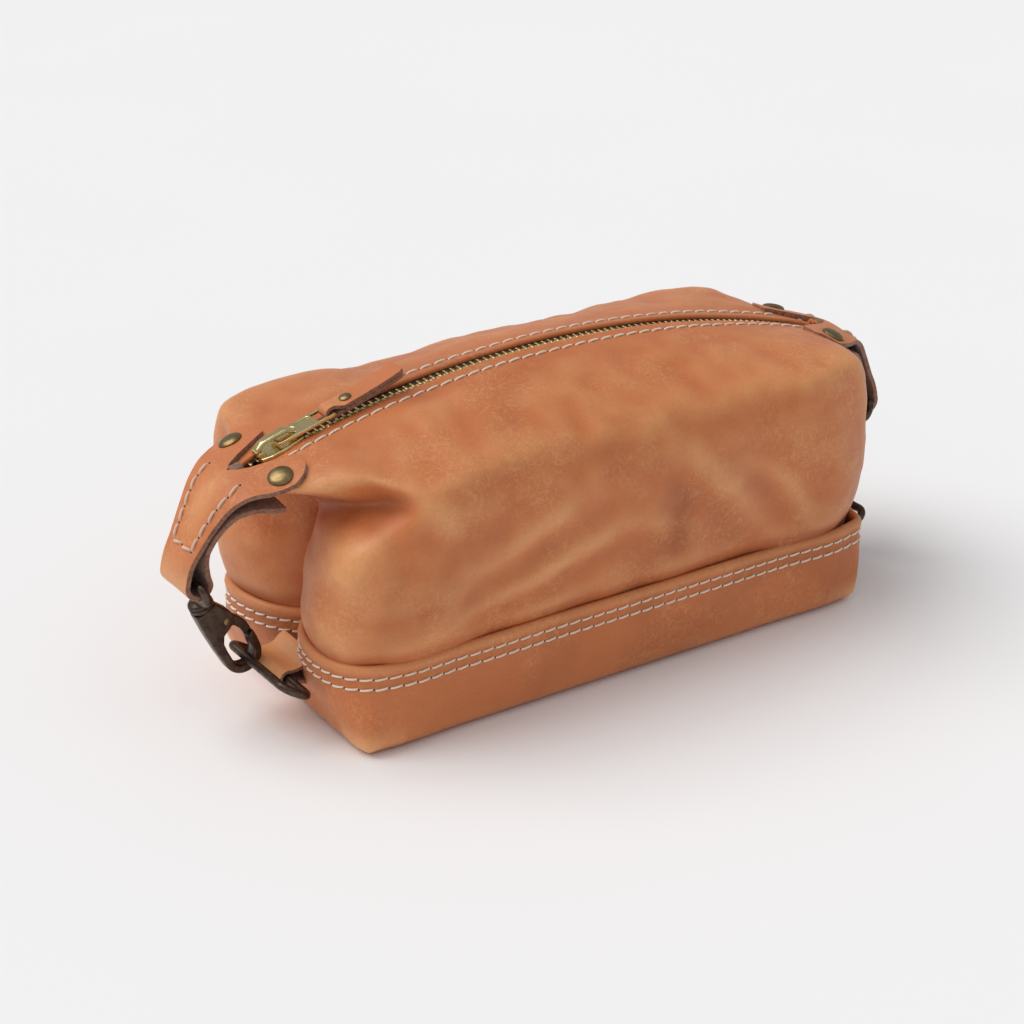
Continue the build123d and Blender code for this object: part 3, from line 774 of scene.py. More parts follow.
class Workshop:
    """Turns pieces into objects with their finishes."""

    def __init__(self, finishes: Finishes) -> None:
        """Keeps the finishes."""
        self.finishes = finishes

    def build(self, name: str, piece: Piece, keys: Sequence[str], sharp: float = 40.0,
              values: dict[str, Array] | None = None) -> bpy.types.Object:
        """Makes an object from a piece.

        Args:
            name: the object's name.
            piece: its mesh in millimetres.
            keys: finishes of its material numbers.
            sharp: edges sharper than this many degrees are shaded as edges.
            values: named values, one for each vertex.

        Returns:
            The object, with its materials.
        """
        mesh = mesh_of(name, piece.vertices, piece.faces)
        mesh.polygons.foreach_set("material_index", piece.materials)
        made = bmesh.new()
        made.from_mesh(mesh)
        bmesh.ops.recalc_face_normals(made, faces=made.faces)
        made.to_mesh(mesh)
        made.free()
        return self.finish(name, mesh, keys, sharp, values)

    def finish(self, name: str, mesh: bpy.types.Mesh, keys: Sequence[str], sharp: float = 40.0,
               values: dict[str, Array] | None = None) -> bpy.types.Object:
        """Links a mesh in metres as an object with its finishes.

        Args:
            name: the object's name.
            mesh: the mesh.
            keys: finishes of its material numbers.
            sharp: edges sharper than this many degrees are shaded as edges.
            values: named values, one for each vertex.

        Returns:
            The object, with its materials.
        """
        for key in keys:
            mesh.materials.append(self.finishes[key])
        for label, numbers in (values or {}).items():
            held = mesh.attributes.get(label) or mesh.attributes.new(label, "FLOAT", "POINT")
            held.data.foreach_set("value", np.asarray(numbers, np.float32).ravel())
        mesh.shade_smooth()
        mesh.set_sharp_from_angle(angle=math.radians(sharp))
        made = placed(name, mesh)
        log.info("%s: %d faces", name, len(mesh.polygons))
        return made

    @staticmethod
    def swell(mesh: bpy.types.Mesh, distance: float) -> None:
        """Moves a sheet out along its normals by a distance in millimetres.

        Args:
            mesh: the sheet.
            distance: how far.
        """
        count = len(mesh.vertices)
        points, normals = np.zeros(count * 3, np.float32), np.zeros(count * 3, np.float32)
        mesh.vertices.foreach_get("co", points)
        mesh.vertex_normals.foreach_get("vector", normals)
        mesh.vertices.foreach_set("co", points + normals * np.float32(distance * MM))
        mesh.update()

    def thicken(self, made: bpy.types.Object, thickness: float, bevel: float, even: bool = True) -> None:
        """Gives a sheet its thickness, inwards from its face, and rounds its edges.

        Its second material becomes the flesh side and its third the cut edge.

        Args:
            made: the sheet, whose normals point out.
            thickness: in millimetres.
            bevel: rounding of the edges, in millimetres.
            even: keep the thickness square to the faces at sharp turns.
        """
        solid = made.modifiers.new("thickness", "SOLIDIFY")
        solid.thickness = thickness * MM
        solid.offset = -1.0
        solid.use_even_offset = even
        solid.thickness_clamp = 0.0
        solid.material_offset = 1
        solid.material_offset_rim = 2
        if bevel > 0:
            edge = made.modifiers.new("edge", "BEVEL")
            edge.width = bevel * MM
            edge.segments = 3
            edge.limit_method = "ANGLE"
            edge.angle_limit = math.radians(60)
        made.data = evaluated_mesh(made)
        made.modifiers.clear()

    @staticmethod
    def slab(loops: Sequence[Sequence[Point2]], thickness: float, bevel: float) -> bpy.types.Mesh:
        """Flat part with rounded edges, lying in its own XY plane, in millimetres.

        Args:
            loops: its outline and the outlines of its holes.
            thickness: along Z, with its middle at 0.
            bevel: rounding of its edges.

        Returns:
            The mesh.
        """
        curve = bpy.data.curves.new("slab", "CURVE")
        curve.dimensions = "2D"
        curve.fill_mode = "BOTH"
        curve.extrude = max(thickness / 2 - bevel, 0.0)
        curve.bevel_depth = bevel
        curve.bevel_resolution = 2
        curve.offset = -bevel
        for loop in loops:
            spline = curve.splines.new("POLY")
            spline.points.add(len(loop) - 1)
            for point, (x, y) in zip(spline.points, loop):
                point.co = (x, y, 0, 1)
            spline.use_cyclic_u = True
        holder = placed("slab", curve)
        mesh = evaluated_mesh(holder)
        bpy.data.objects.remove(holder)
        return mesh


# Places read from the frame


def joint(name: str) -> dict:
    """A joint of the frame, by name."""
    return next(j for j in frame["joints"] if j["name"] == name)


def millimetres(point: Sequence[float]) -> Array:
    """A point of the frame in millimetres."""
    return np.array([c / MM for c in point])


def joint_place(name: str) -> Array:
    """Where a joint of the frame is, in millimetres."""
    return millimetres(joint(name)["pos_m"])


@dataclass(frozen=True)
class Layout:
    """Sizes and places of the frame that the looks are built to."""

    arc_z: float
    zip_top: float
    half_length: float
    half_width: float
    slider_x: float
    tooth_top_drop: float = 0.9

    @classmethod
    def read(cls) -> "Layout":
        """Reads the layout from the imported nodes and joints.

        Returns:
            The layout.
        """
        base_low, base_high = (millimetres(corner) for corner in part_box("base_panel"))
        teeth_high = millimetres(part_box("zip_teeth_front")[1])
        slider_low, slider_high = (millimetres(corner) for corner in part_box("zip_slider"))
        return cls(
            arc_z=joint("slider_travel")["pos_m"][2] / MM,
            zip_top=teeth_high[2] + cls.tooth_top_drop,
            half_length=base_high[0],
            half_width=base_high[1],
            slider_x=round(-(slider_low[0] + slider_high[0]) / 2),
        )

    @property
    def radius(self) -> float:
        """Radius of the zip line."""
        return self.zip_top - self.arc_z

    def zip_z(self, x: Array | float) -> Array | float:
        """Height of the zip line."""
        return self.arc_z + np.sqrt(self.radius**2 - np.asarray(x) ** 2)

    def slope(self, x: float) -> float:
        """Angle of the zip line at a place, falling towards +X, in radians."""
        return math.asin(x / self.radius)

    def on_zip(self, x: float, y: float = 0.0, rise: float = 0.0) -> Matrix:
        """Frame at a place on the zip line: X along it towards +X, Z square to it.

        Args:
            x: place along the bag.
            y: distance from its middle line.
            rise: height over the zip line.

        Returns:
            The frame as a matrix.
        """
        a = self.slope(x)
        along = (math.cos(a), 0, -math.sin(a))
        up = (math.sin(a), 0, math.cos(a))
        z = float(self.zip_z(x))
        origin = (x + rise * up[0], y, z + rise * up[2])
        return frame_at(origin, along, (0, 1, 0))


@dataclass
class SewingThread:
    """Run of saddle stitches laid over a surface."""

    pitch: float
    length: float
    radius: float
    sink: float = 0.7
    lean: float = 0.0
    hole_radius: float = 0.42

    def sew(self, piece: Piece, path: Array, normals: Array, closed: bool = False) -> None:
        """Adds the stitches along a path on a surface.

        Args:
            piece: piece that takes the thread as material 0 and the dark discs of painted shade at the awl holes as
                material 1.
            path: points on the surface.
            normals: the surface's normals there.
            closed: whether the path returns to its start.
        """
        if closed:
            path = np.concatenate([path, path[:1]])
            normals = np.concatenate([normals, normals[:1]])
        steps = np.concatenate([[0.0], np.cumsum(np.linalg.norm(np.diff(path, axis=0), axis=1))])
        count = max(int(round(steps[-1] / self.pitch)), 1)
        pitch = steps[-1] / count

        def at(distance: float) -> tuple[Array, Array]:
            """Point and normal at a distance along the path."""
            p = np.array([np.interp(distance, steps, path[:, k]) for k in range(3)])
            n = np.array([np.interp(distance, steps, normals[:, k]) for k in range(3)])
            return p, unit(n)

        shares = np.array([0.0, 0.10, 0.30, 0.70, 0.90, 1.0])
        rises = np.array([-self.sink, 0.25 * self.radius, 0.8 * self.radius, 0.8 * self.radius,
                          0.25 * self.radius, -self.sink])
        swells = np.array([0.7, 1.0, 1.05, 1.05, 1.0, 0.7]) * self.radius
        for i in range(count):
            start = i * pitch + (pitch - self.length) / 2
            points = []
            for share, rise in zip(shares, rises):
                p, n = at(start + share * self.length)
                ahead = at(min(start + share * self.length + 0.5, steps[-1]))[0] - p
                across = unit(np.cross(n, ahead))
                points.append(p + n * rise + across * self.lean * (share - 0.5))
            piece.tube(np.array(points), swells, 8)
            p, n = at(i * pitch)
            along = at(min(i * pitch + 0.4, steps[-1]))[0] - p
            if np.linalg.norm(along) < 1e-6:
                along = p - at(max(i * pitch - 0.4, 0.0))[0]
            place = frame_at(p, along, np.cross(n, along))
            # A small dark disc at each stitch end: painted shade of the awl holes.
            piece.lathe([(0.02, 0.16), (0.7 * self.hole_radius, 0.13), (self.hole_radius, -0.05),
                         (0.5 * self.hole_radius, -0.3)], place, 8, 1)


# Base band


@dataclass
class BaseBand:
    """Tray of leather with a rolled top edge and two rows of stitches."""

    layout: Layout
    shop: Workshop
    stitch_heights: tuple[float, float] = (33.4, 29.2)
    quarter_columns: int = 150

    @property
    def columns(self) -> int:
        """Points round the band."""
        return 4 * self.quarter_columns

    def outline(self, z: float, offset: float) -> Array:
        """Plan of the band at a height, moved out by an offset.

        Args:
            z: height.
            offset: distance out of the plan.

        Returns:
            Points round the band.
        """
        x, y = self.layout.half_length, self.layout.half_width
        foot = [(x - 1.5, 0), (x - 1.0, 5), (x - 0.4, 15), (x, 28), (x, 42), (x - 0.1, 53), (x - 2.2, y - 1.5),
                (x - 11, y - 0.1), (x - 47, y), (x - 87, y), (0, y)]
        lip = [(x - 9.0, 0), (x - 4.6, 4.0), (x + 0.4, 11), (x + 4.6, 23), (x + 5.6, 36), (x + 2.6, 47.5),
               (x - 5.5, 56), (x - 19, y - 0.5), (x - 47, y), (x - 87, y), (0, y)]
        shoulder = [(x + 3.6, 23), (x + 4.6, 36), (x + 3.8, 48), (x + 0.5, 56.5), (x - 10, y - 0.2)]
        full = lip[:3] + shoulder + lip[8:]
        share = float(smooth_step(z, 3.0, 33.0))
        part = through(np.array(foot) * (1 - share) + np.array(lip) * share, self.quarter_columns + 1)
        right = through(np.array(foot) * (1 - share) + np.array(full) * share, self.quarter_columns + 1)
        back_left = part * np.array([-1.0, 1.0])
        front_left = part * np.array([-1.0, -1.0])
        front_right = right * np.array([1.0, -1.0])
        plan = np.concatenate([front_left[:-1], front_right[::-1][:-1], right[:-1], back_left[::-1][:-1]])
        ahead = np.roll(plan, -1, axis=0) - np.roll(plan, 1, axis=0)
        out = unit(np.stack([ahead[:, 1], -ahead[:, 0]], axis=1))
        return plan + out * offset

    def profile(self) -> Array:
        """Section from the middle of the floor, up the outside, over the lip and down the inside.

        Returns:
            Distance out of the plan and height of each point.
        """
        return np.array([(-16, 0.0), (-8, 0.25), (-4, 1.2), (-1.2, 4.2), (0.0, 9.0), (0.5, 16.0),
                         (0.3, 24.0), (0.0, 28.5), (-0.45, 31.4), (-0.25, 34.4), (0.35, 36.0), (0.2, 37.4),
                         (-0.7, 38.6), (-1.9, 39.0), (-3.0, 38.3), (-3.6, 36.6), (-3.5, 33.0),
                         (-2.6, 20.0), (-2.9, 8.0), (-5.5, 3.0), (-12.0, 2.0)], float)

    def ring(self, offset: float, z: float) -> Array:
        """Points round the band at one place of its section, with the leather's slight unevenness.

        Args:
            offset: distance out of the plan.
            z: height.

        Returns:
            The points.
        """
        plan = self.outline(z, offset)
        drift = np.array([noise.noise(Vector((x / 37, y / 37, z / 26))) for x, y in plan])
        swell = 0.8 * drift * smooth_step(z, 1.0, 12.0)
        centre = plan / np.maximum(np.linalg.norm(plan, axis=1, keepdims=True), 1)
        plan = plan + centre * swell[:, None]
        return np.column_stack([plan, np.full(len(plan), z)])

    def build(self) -> None:
        """Builds the band and its stitches."""
        fine = through(self.profile(), 84)
        rings = [self.ring(offset, z) for offset, z in fine]
        grid = np.array(rings)
        piece = Piece()
        piece.add(grid.reshape(-1, 3), grid_faces(len(rings), self.columns, wrap=True))
        piece.add(rings[0], [tuple(range(self.columns))])
        piece.add(rings[-1], [tuple(range(self.columns))[::-1]])
        lip = np.repeat(smooth_step(fine[:, 1], 34.0, 37.5), self.columns)
        foot = 0.8 * np.repeat(1 - smooth_step(fine[:, 1], 1.0, 15.0), self.columns)
        corner = np.array([smooth_step(math.hypot(abs(x) - 108, abs(y) - 44) if abs(x) > 108 and abs(y) > 44
                                       else 0.0, 12, 24) for x, y, _ in grid.reshape(-1, 3)])
        wear = np.clip(0.34 * lip + 1.4 * corner * foot + 0.18 * foot, 0, 1)
        wear = np.concatenate([wear, np.zeros(2 * self.columns)])
        made = self.shop.build("base_panel_leather", piece, ["leather"], 50, {"wear": wear})
        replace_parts(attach(made, "bag"), "base_panel")
        self.sew()

    def sew(self) -> None:
        """Builds the two rows of stitches round the band."""
        piece = Piece()
        thread = SewingThread(pitch=6.0, length=5.4, radius=0.43, lean=0.6)
        section = through(self.profile(), 400)
        outer = section[:240]
        for z in self.stitch_heights:
            offset = float(np.interp(z, outer[:, 1], outer[:, 0]))
            path = self.ring(offset, z)
            ahead = np.roll(path, -1, axis=0) - np.roll(path, 1, axis=0)
            normals = unit(np.stack([ahead[:, 1], -ahead[:, 0], np.zeros(len(path))], axis=1))
            thread.sew(piece, path, normals, closed=True)
        made = self.shop.build("band_stitches", piece, ["thread", "hole"], 60)
        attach(made, "bag")


# Upper panels


@dataclass(frozen=True)
class Fold:
    """Soft fold pressed into a panel along a line in (x, height)."""

    line: tuple[Point2, ...]
    width: float
    rise: float
    trough: float = 0.6


FRONT_FOLDS = (
    Fold(((-90, 66), (-72, 73), (-56, 78), (-38, 86), (-22, 95)), 9.0, 1.9, 0.7),
    Fold(((-94, 48), (-74, 55), (-52, 60), (-26, 69), (0, 73), (16, 66)), 8.0, 2.0, 0.8),
    Fold(((8, 110), (24, 100), (40, 84), (56, 68), (68, 50)), 10.0, 2.1, 0.7),
    Fold(((56, 86), (70, 78), (84, 64), (93, 46)), 7.0, 1.6, 0.6),
    Fold(((-100, 108), (-90, 96), (-86, 84)), 8.0, 1.2, 0.3),
    Fold(((20, 88), (22, 66), (20, 44)), 10.0, -1.2, 0.2),
)
BACK_FOLDS = (
    Fold(((-70, 96), (-48, 84), (-30, 66), (-22, 48)), 9.0, 1.8, 0.6),
    Fold(((-92, 60), (-66, 64), (-40, 56)), 8.0, 1.4, 0.6),
    Fold(((84, 52), (60, 62), (34, 76), (10, 84)), 9.0, 1.9, 0.7),
    Fold(((70, 96), (46, 92), (24, 98)), 8.0, 1.3, 0.5),
)


@dataclass
class UpperPanels:
    """Front and back panels, drawn from the band up to the rolled edges beside the zip."""

    layout: Layout
    shop: Workshop
    columns: int = 380
    rows: int = 132
    coarse: int = 3
    thickness: float = 2.0
    row_of_stitches: float = 9.4
    stitches_end: float = 129.0
    settle_share: float = 0.42
    settle_cap: float = 3.0
    settle_steps: int = 22
    rolled_radius: float = 1.25
    end_turn_in: float = 3.5
    grids: dict = field(default_factory=dict)

    def quarter(self, tucked: bool) -> Array:
        """Net of one quarter, from the end's crease to the middle of the front, row by row.

        Args:
            tucked: whether the shoulder folds under the top instead of standing full.

        Returns:
            The net's points, for the front left quarter.
        """
        rows = [
            [(-114, 0, 28), (-120.5, -7.5, 28), (-126.5, -25, 28), (-124.5, -47.5, 28), (-111, -56.4, 28),
             (-60, -56.6, 28), (0, -56.6, 28)],
            [(-114.5, 0, 38), (-122, -8, 38), (-129, -26, 38), (-127, -48, 38), (-113, -57.0, 38),
             (-60, -57.6, 38), (0, -57.6, 38)],
            [(-113.5, 0, 45), (-123, -8, 45), (-131, -26, 45), (-128.8, -49.5, 45), (-114, -59.8, 45),
             (-60, -61.3, 45), (0, -61.5, 45)],
            [(-111, 0, 62), (-121, -8, 62), (-130.5, -27, 62), (-130, -52, 62), (-117, -61.5, 62),
             (-60, -64.0, 62), (0, -64.2, 62)],
            [(-107, 0, 82), (-116, -8, 82), (-126.5, -28, 84), (-128.8, -53, 85), (-116, -61.2, 86),
             (-60, -63.8, 86), (0, -64, 86)],
            [(-118, 0, 91), (-120.5, -12, 93), (-127, -31, 97), (-127, -53.5, 100.5), (-113, -60.2, 102),
             (-58, -61.6, 102), (0, -61.6, 102)],
            [(-145.5, 0, 103), (-142, -15, 104.5), (-132.5, -31, 107.8), (-121.5, -51, 113.2),
             (-105.5, -55.8, 114.5), (-55, -55.0, 114), (0, -54.5, 115.5)],
            [(-146.5, -2, 104.6), (-142.6, -10, 107), (-133.5, -18, 110.2), (-118, -28, 115.2),
             (-102, -31, 118.6), (-55, -32, 122.4), (0, -32, 124.8)],
        ]
        if tucked:
            changes = {
                (3, 2): (-129, -27, 62), (3, 3): (-126.5, -51, 62), (3, 4): (-112, -61.6, 62),
                (4, 2): (-123, -28, 84), (4, 3): (-121.5, -52, 86), (4, 4): (-107, -60.8, 86),
                (5, 1): (-116, -12, 92.3), (5, 2): (-112.5, -30, 96.2), (5, 3): (-105.0, -45.8, 98.4),
                (5, 4): (-101, -59.2, 101), (6, 1): (-141.5, -15, 104.5), (6, 2): (-130, -30, 106.5),
                (6, 3): (-114, -43.5, 110.8), (6, 4): (-101, -52.5, 111.0), (7, 2): (-133, -18, 109.8),
                (7, 3): (-117, -27, 113.8), (7, 4): (-102, -31, 117.0),
            }
            for (r, c), point in changes.items():
                rows[r][c] = point
        y = -4.7 if tucked else -5.4
        edge = [(-147, -2.5), (-143, -4.2), (-134, y), (-118, y), (-103, y), (-55, y), (0, y)]
        rows.append([(x, y, float(self.layout.zip_z(x)) - 0.2) for x, y in edge])
        return np.array(rows, float)

    def net(self, side: Side) -> Array:
        """Net of a whole panel, drawn as the front one."""
        left = self.quarter(tucked=side is Side.FRONT)
        right = self.quarter(tucked=False)[:, -2::-1] * np.array([-1.0, 1.0, 1.0])
        right[-1, :, 1] = left[-1, -2::-1, 1]
        return np.concatenate([left, right], axis=1)

    def surface(self, side: Side) -> Array:
        """Fine grid of a panel's outer face before it is creased, drawn as the front one."""
        by_row = through(self.net(side), self.rows)
        return through(by_row.swapaxes(0, 1), self.columns).swapaxes(0, 1)

    def settle(self, grid: Array, seed: int) -> Array:
        """Lets the leather swell and pucker as cloth, held at its seams.

        Args:
            grid: outer face.
            seed: shifts the first small unevenness that the puckers grow from.

        Returns:
            The grid after it has settled.
        """
        small = grid[:: self.coarse, :: self.coarse]
        count_rows, count_columns = small.shape[:2]
        lumps = np.array([noise.noise(Vector((p[0] / 24 + seed, p[2] / 20, p[1] / 24)))
                          for p in small.reshape(-1, 3)])
        normals = grid_normals(small)
        start = small + normals * (0.9 * lumps.reshape(count_rows, count_columns, 1))
        faces = grid_faces(count_rows, count_columns)
        held = placed("settling", mesh_of("settling", start.reshape(-1, 3), faces))
        pins = held.vertex_groups.new(name="seams")
        for r in range(count_rows):
            for c in range(count_columns):
                near_edge = min(c, count_columns - 1 - c)
                near_zip = count_rows - 1 - r
                weight = max(1.0 if r < 4 else 0.0, 1.0 - 0.25 * near_edge, 1.0 - 0.12 * near_zip, 0.0)
                if weight > 0:
                    pins.add([r * count_columns + c], weight, "REPLACE")
        cloth = held.modifiers.new("cloth", "CLOTH")
        settings = cloth.settings
        settings.quality = 6
        settings.mass = 0.35
        settings.tension_stiffness = 35
        settings.compression_stiffness = 35
        settings.shear_stiffness = 20
        settings.bending_stiffness = 6
        settings.effector_weights.gravity = 0
        settings.use_pressure = True
        settings.uniform_pressure_force = 1.6
        settings.shrink_min = -0.025
        settings.vertex_group_mass = "seams"
        settings.pin_stiffness = 1.0
        cloth.collision_settings.use_self_collision = False
        cloth.point_cache.frame_end = self.settle_steps + 2
        scene = bpy.context.scene
        for step in range(self.settle_steps):
            scene.frame_set(step + 1)
        evaluated = held.evaluated_get(bpy.context.evaluated_depsgraph_get())
        after = np.array([v.co for v in evaluated.data.vertices]).reshape(small.shape) / MM
        bpy.data.objects.remove(held)
        scene.frame_set(1)
        moved = after - small
        size = np.linalg.norm(moved, axis=2, keepdims=True)
        cap = self.settle_cap
        moved = self.settle_share * moved * (cap * np.tanh(size / cap) / np.maximum(size, 1e-6))
        log.info("leather settled by up to %.1f mm", float(size.max()))
        return grid + self.spread(soften(moved, 3), grid.shape[:2])

    @staticmethod
    def spread(values: Array, shape: tuple[int, int]) -> Array:
        """Stretches a coarse grid of values over a finer one.

        Args:
            values: the coarse grid.
            shape: rows and columns of the finer one.

        Returns:
            The finer grid.
        """
        rows = np.linspace(0, values.shape[0] - 1, shape[0])
        columns = np.linspace(0, values.shape[1] - 1, shape[1])
        r = np.minimum(rows.astype(int), values.shape[0] - 2)
        c = np.minimum(columns.astype(int), values.shape[1] - 2)
        fr = (rows - r)[:, None, None]
        fc = (columns - c)[None, :, None]
        a, b = values[r][:, c], values[r][:, c + 1]
        d, e = values[r + 1][:, c], values[r + 1][:, c + 1]
        return (a * (1 - fc) + b * fc) * (1 - fr) + (d * (1 - fc) + e * fc) * fr

    def press(self, grid: Array, folds: Sequence[Fold], seed: int) -> tuple[Array, Array]:
        """Presses the folds and small creases into a panel.

        Args:
            grid: outer face.
            folds: its folds.
            seed: shifts the small creases.

        Returns:
            The creased grid, and how raised each point is by the folds.
        """
        normals = grid_normals(grid)
        flat = grid[..., [0, 2]]
        lift = np.zeros(grid.shape[:2])
        raised = np.zeros(grid.shape[:2])
        for fold in folds:
            line = through(np.array(fold.line, float), 60)
            distance = np.linalg.norm(flat[:, :, None, :] - line[None, None, :, :], axis=3)
            nearest = distance.argmin(axis=2)
            ahead = np.gradient(line, axis=0)[nearest]
            away = flat - line[nearest]
            signed = ahead[..., 0] * away[..., 1] - ahead[..., 1] * away[..., 0]
            d = distance.min(axis=2) * np.sign(signed) / fold.width
            along = nearest / (len(line) - 1)
            taper = np.sin(math.pi * np.clip(along, 0.04, 0.96)) ** 0.6
            ridge = np.exp(-((d / 0.75) ** 2))
            dip = np.exp(-(((d + 1.35) / 0.9) ** 2))
            lift += 0.8 * fold.rise * taper * (ridge - fold.trough * dip)
            raised += taper * ridge * math.copysign(1.0, fold.rise)
        facing = smooth_step(-normals[..., 1], 0.25, 0.7)
        height = grid[..., 2]
        inside = facing * smooth_step(height, 42, 54)
        points = grid.reshape(-1, 3)
        soft = np.array([noise.fractal(Vector((p[0] / 34 + seed, p[1] / 34, p[2] / 27)), 0.9, 2.1, 3)
                         for p in points]).reshape(height.shape)
        crease = np.array([noise.noise(Vector((p[0] / 9 + seed, p[1] / 9, p[2] / 6)))
                           for p in points]).reshape(height.shape)
        loose = smooth_step(height, 40, 52) * (1 - smooth_step(self.edge_nearness(grid), 0.2, 1.0))
        moved = lift * inside + (1.1 * soft + 0.16 * crease) * loose
        return grid + normals * moved[..., None], raised * inside

    @staticmethod
    def edge_nearness(grid: Array) -> Array:
        """How near each point is to the zip edge, from 0 at 24 mm to 1 at 10 mm from the middle line."""
        top = smooth_step(grid[..., 2], 98, 104)
        return (1 - smooth_step(np.abs(grid[..., 1]), 10, 24)) * top

    @staticmethod
    def bends(grid: Array) -> tuple[Array, Array]:
        """How far each point stands out of its surroundings, and how far it lies in them.

        Args:
            grid: outer face.

        Returns:
            The two shares, from 0 to 1.
        """
        normals = grid_normals(grid)
        broad = soften(grid, 60)
        standing = ((grid - broad) * normals).sum(axis=2)
        standing = soften(standing, 6)
        return np.clip(standing / 1.1, 0, 1), np.clip(-standing / 1.1, 0, 1)

    def roll_edge(self, grid: Array) -> Array:
        """Adds the rolled edge beside the zip and the turned-in fold at each end.

        Args:
            grid: outer face.

        Returns:
            The grid with the added rows and columns.
        """
        normals = grid_normals(grid)
        top = grid[-1]
        out = normals[-1]
        inward = unit(grid[-1] - grid[-3])
        inward -= out * (inward * out).sum(axis=1, keepdims=True)
        inward = unit(inward)
        radius = self.rolled_radius
        rows = [top - out * radius * (1 - math.cos(a)) + inward * radius * math.sin(a)
                for a in np.radians([22, 45, 68, 90, 112, 135, 158, 180])]
        rolled = np.concatenate([grid, np.array(rows)], axis=0)
        fold = np.array([self.end_turn_in, 0.0, 0.0])
        left = rolled[:, :1] + fold
        right = rolled[:, -1:] - fold
        return np.concatenate([left, rolled, right], axis=1)

    def build(self) -> None:
        """Builds both panels and the stitches beside the zip."""
        for side, folds, seed in ((Side.FRONT, FRONT_FOLDS, 3), (Side.BACK, BACK_FOLDS, 11)):
            surface = self.surface(side)
            grid = self.settle(surface, seed)
            grid, raised = self.press(grid, folds, seed)
            high, low = self.bends(grid)
            self.grids[side] = grid * np.array([1.0, -side.value, 1.0])
            self.make_panel(side, grid, raised, high, low)
            self.sew(side)

    def make_panel(self, side: Side, grid: Array, raised: Array, high: Array, low: Array) -> None:
        """Makes one panel's object from its grid.

        Args:
            side: front or back.
            grid: outer face, drawn as the front one.
            raised: how raised each point is by the folds.
            high: how far each point stands out.
            low: how far each point lies in.
        """
        rolled = self.roll_edge(grid)
        extra_rows = rolled.shape[0] - grid.shape[0]
        pad = [(0, extra_rows), (1, 1)]
        # Painted shade: darker in hollows, in sunk folds and low on the panel where it tucks behind the band.
        # Painted highlight together with the leather's pull-up lightening: lighter on raised folds and ridge crests,
        # less so by the band.
        band = 1 - smooth_step(grid[..., 2], 39, 47)
        wear = np.clip(0.22 * np.clip(raised, 0, 1) + 0.60 * high - 0.25 * band, 0, 1)
        shade = np.clip(0.85 * low + 0.35 * np.clip(-raised, 0, 1) + 0.3 * band, 0, 1)
        points = rolled * np.array([1.0, -side.value, 1.0])
        faces = grid_faces(*rolled.shape[:2])
        if side is Side.BACK:
            faces = [f[::-1] for f in faces]
        name = f"{side.word}_panel_leather"
        mesh = mesh_of(name, points.reshape(-1, 3), faces)
        if mesh.polygons[len(faces) // 3].normal.y * side.value < 0:
            mesh.flip_normals()
        values = {"wear": np.pad(wear, pad, mode="edge"), "shade": np.pad(shade, pad, mode="edge")}
        made = self.shop.finish(name, mesh, ["leather", "suede", "leather"], 60, values)
        self.shop.thicken(made, self.thickness, 0.0, even=False)
        made.data.shade_smooth()
        bend_with_lip(made)
        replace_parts(made, f"{side.word}_panel", f"mouth_edge_{side.word}")

    def sew(self, side: Side) -> None:
        """Builds the row of stitches beside the zip on one panel.

        Args:
            side: front or back.
        """
        grid = self.grids[side]
        normals = grid_normals(grid) * (1 if side is Side.FRONT else -1)
        width = np.abs(grid[..., 1])
        path, out = [], []
        for c in range(grid.shape[1]):
            if abs(grid[-1, c, 0]) > self.stitches_end:
                continue
            rows = np.nonzero(width[:-1, c] >= self.row_of_stitches)[0]
            r = rows[-1]
            f = (width[r, c] - self.row_of_stitches) / (width[r, c] - width[r + 1, c])
            path.append(grid[r, c] * (1 - f) + grid[r + 1, c] * f)
            out.append(normals[r, c])
        out = np.array(out)
        if out[len(out) // 2][2] < 0:
            out = -out
        piece = Piece()
        SewingThread(pitch=6.6, length=5.9, radius=0.44, lean=0.8).sew(piece, np.array(path), out)
        made = self.shop.build(f"zip_stitches_{side.word}", piece, ["thread", "hole"], 60)
        bend_with_lip(made)


def bend_with_lip(made: bpy.types.Object) -> None:
    """Bakes the placement of a piece beside the zip into its mesh."""
    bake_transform(made)


# Zip


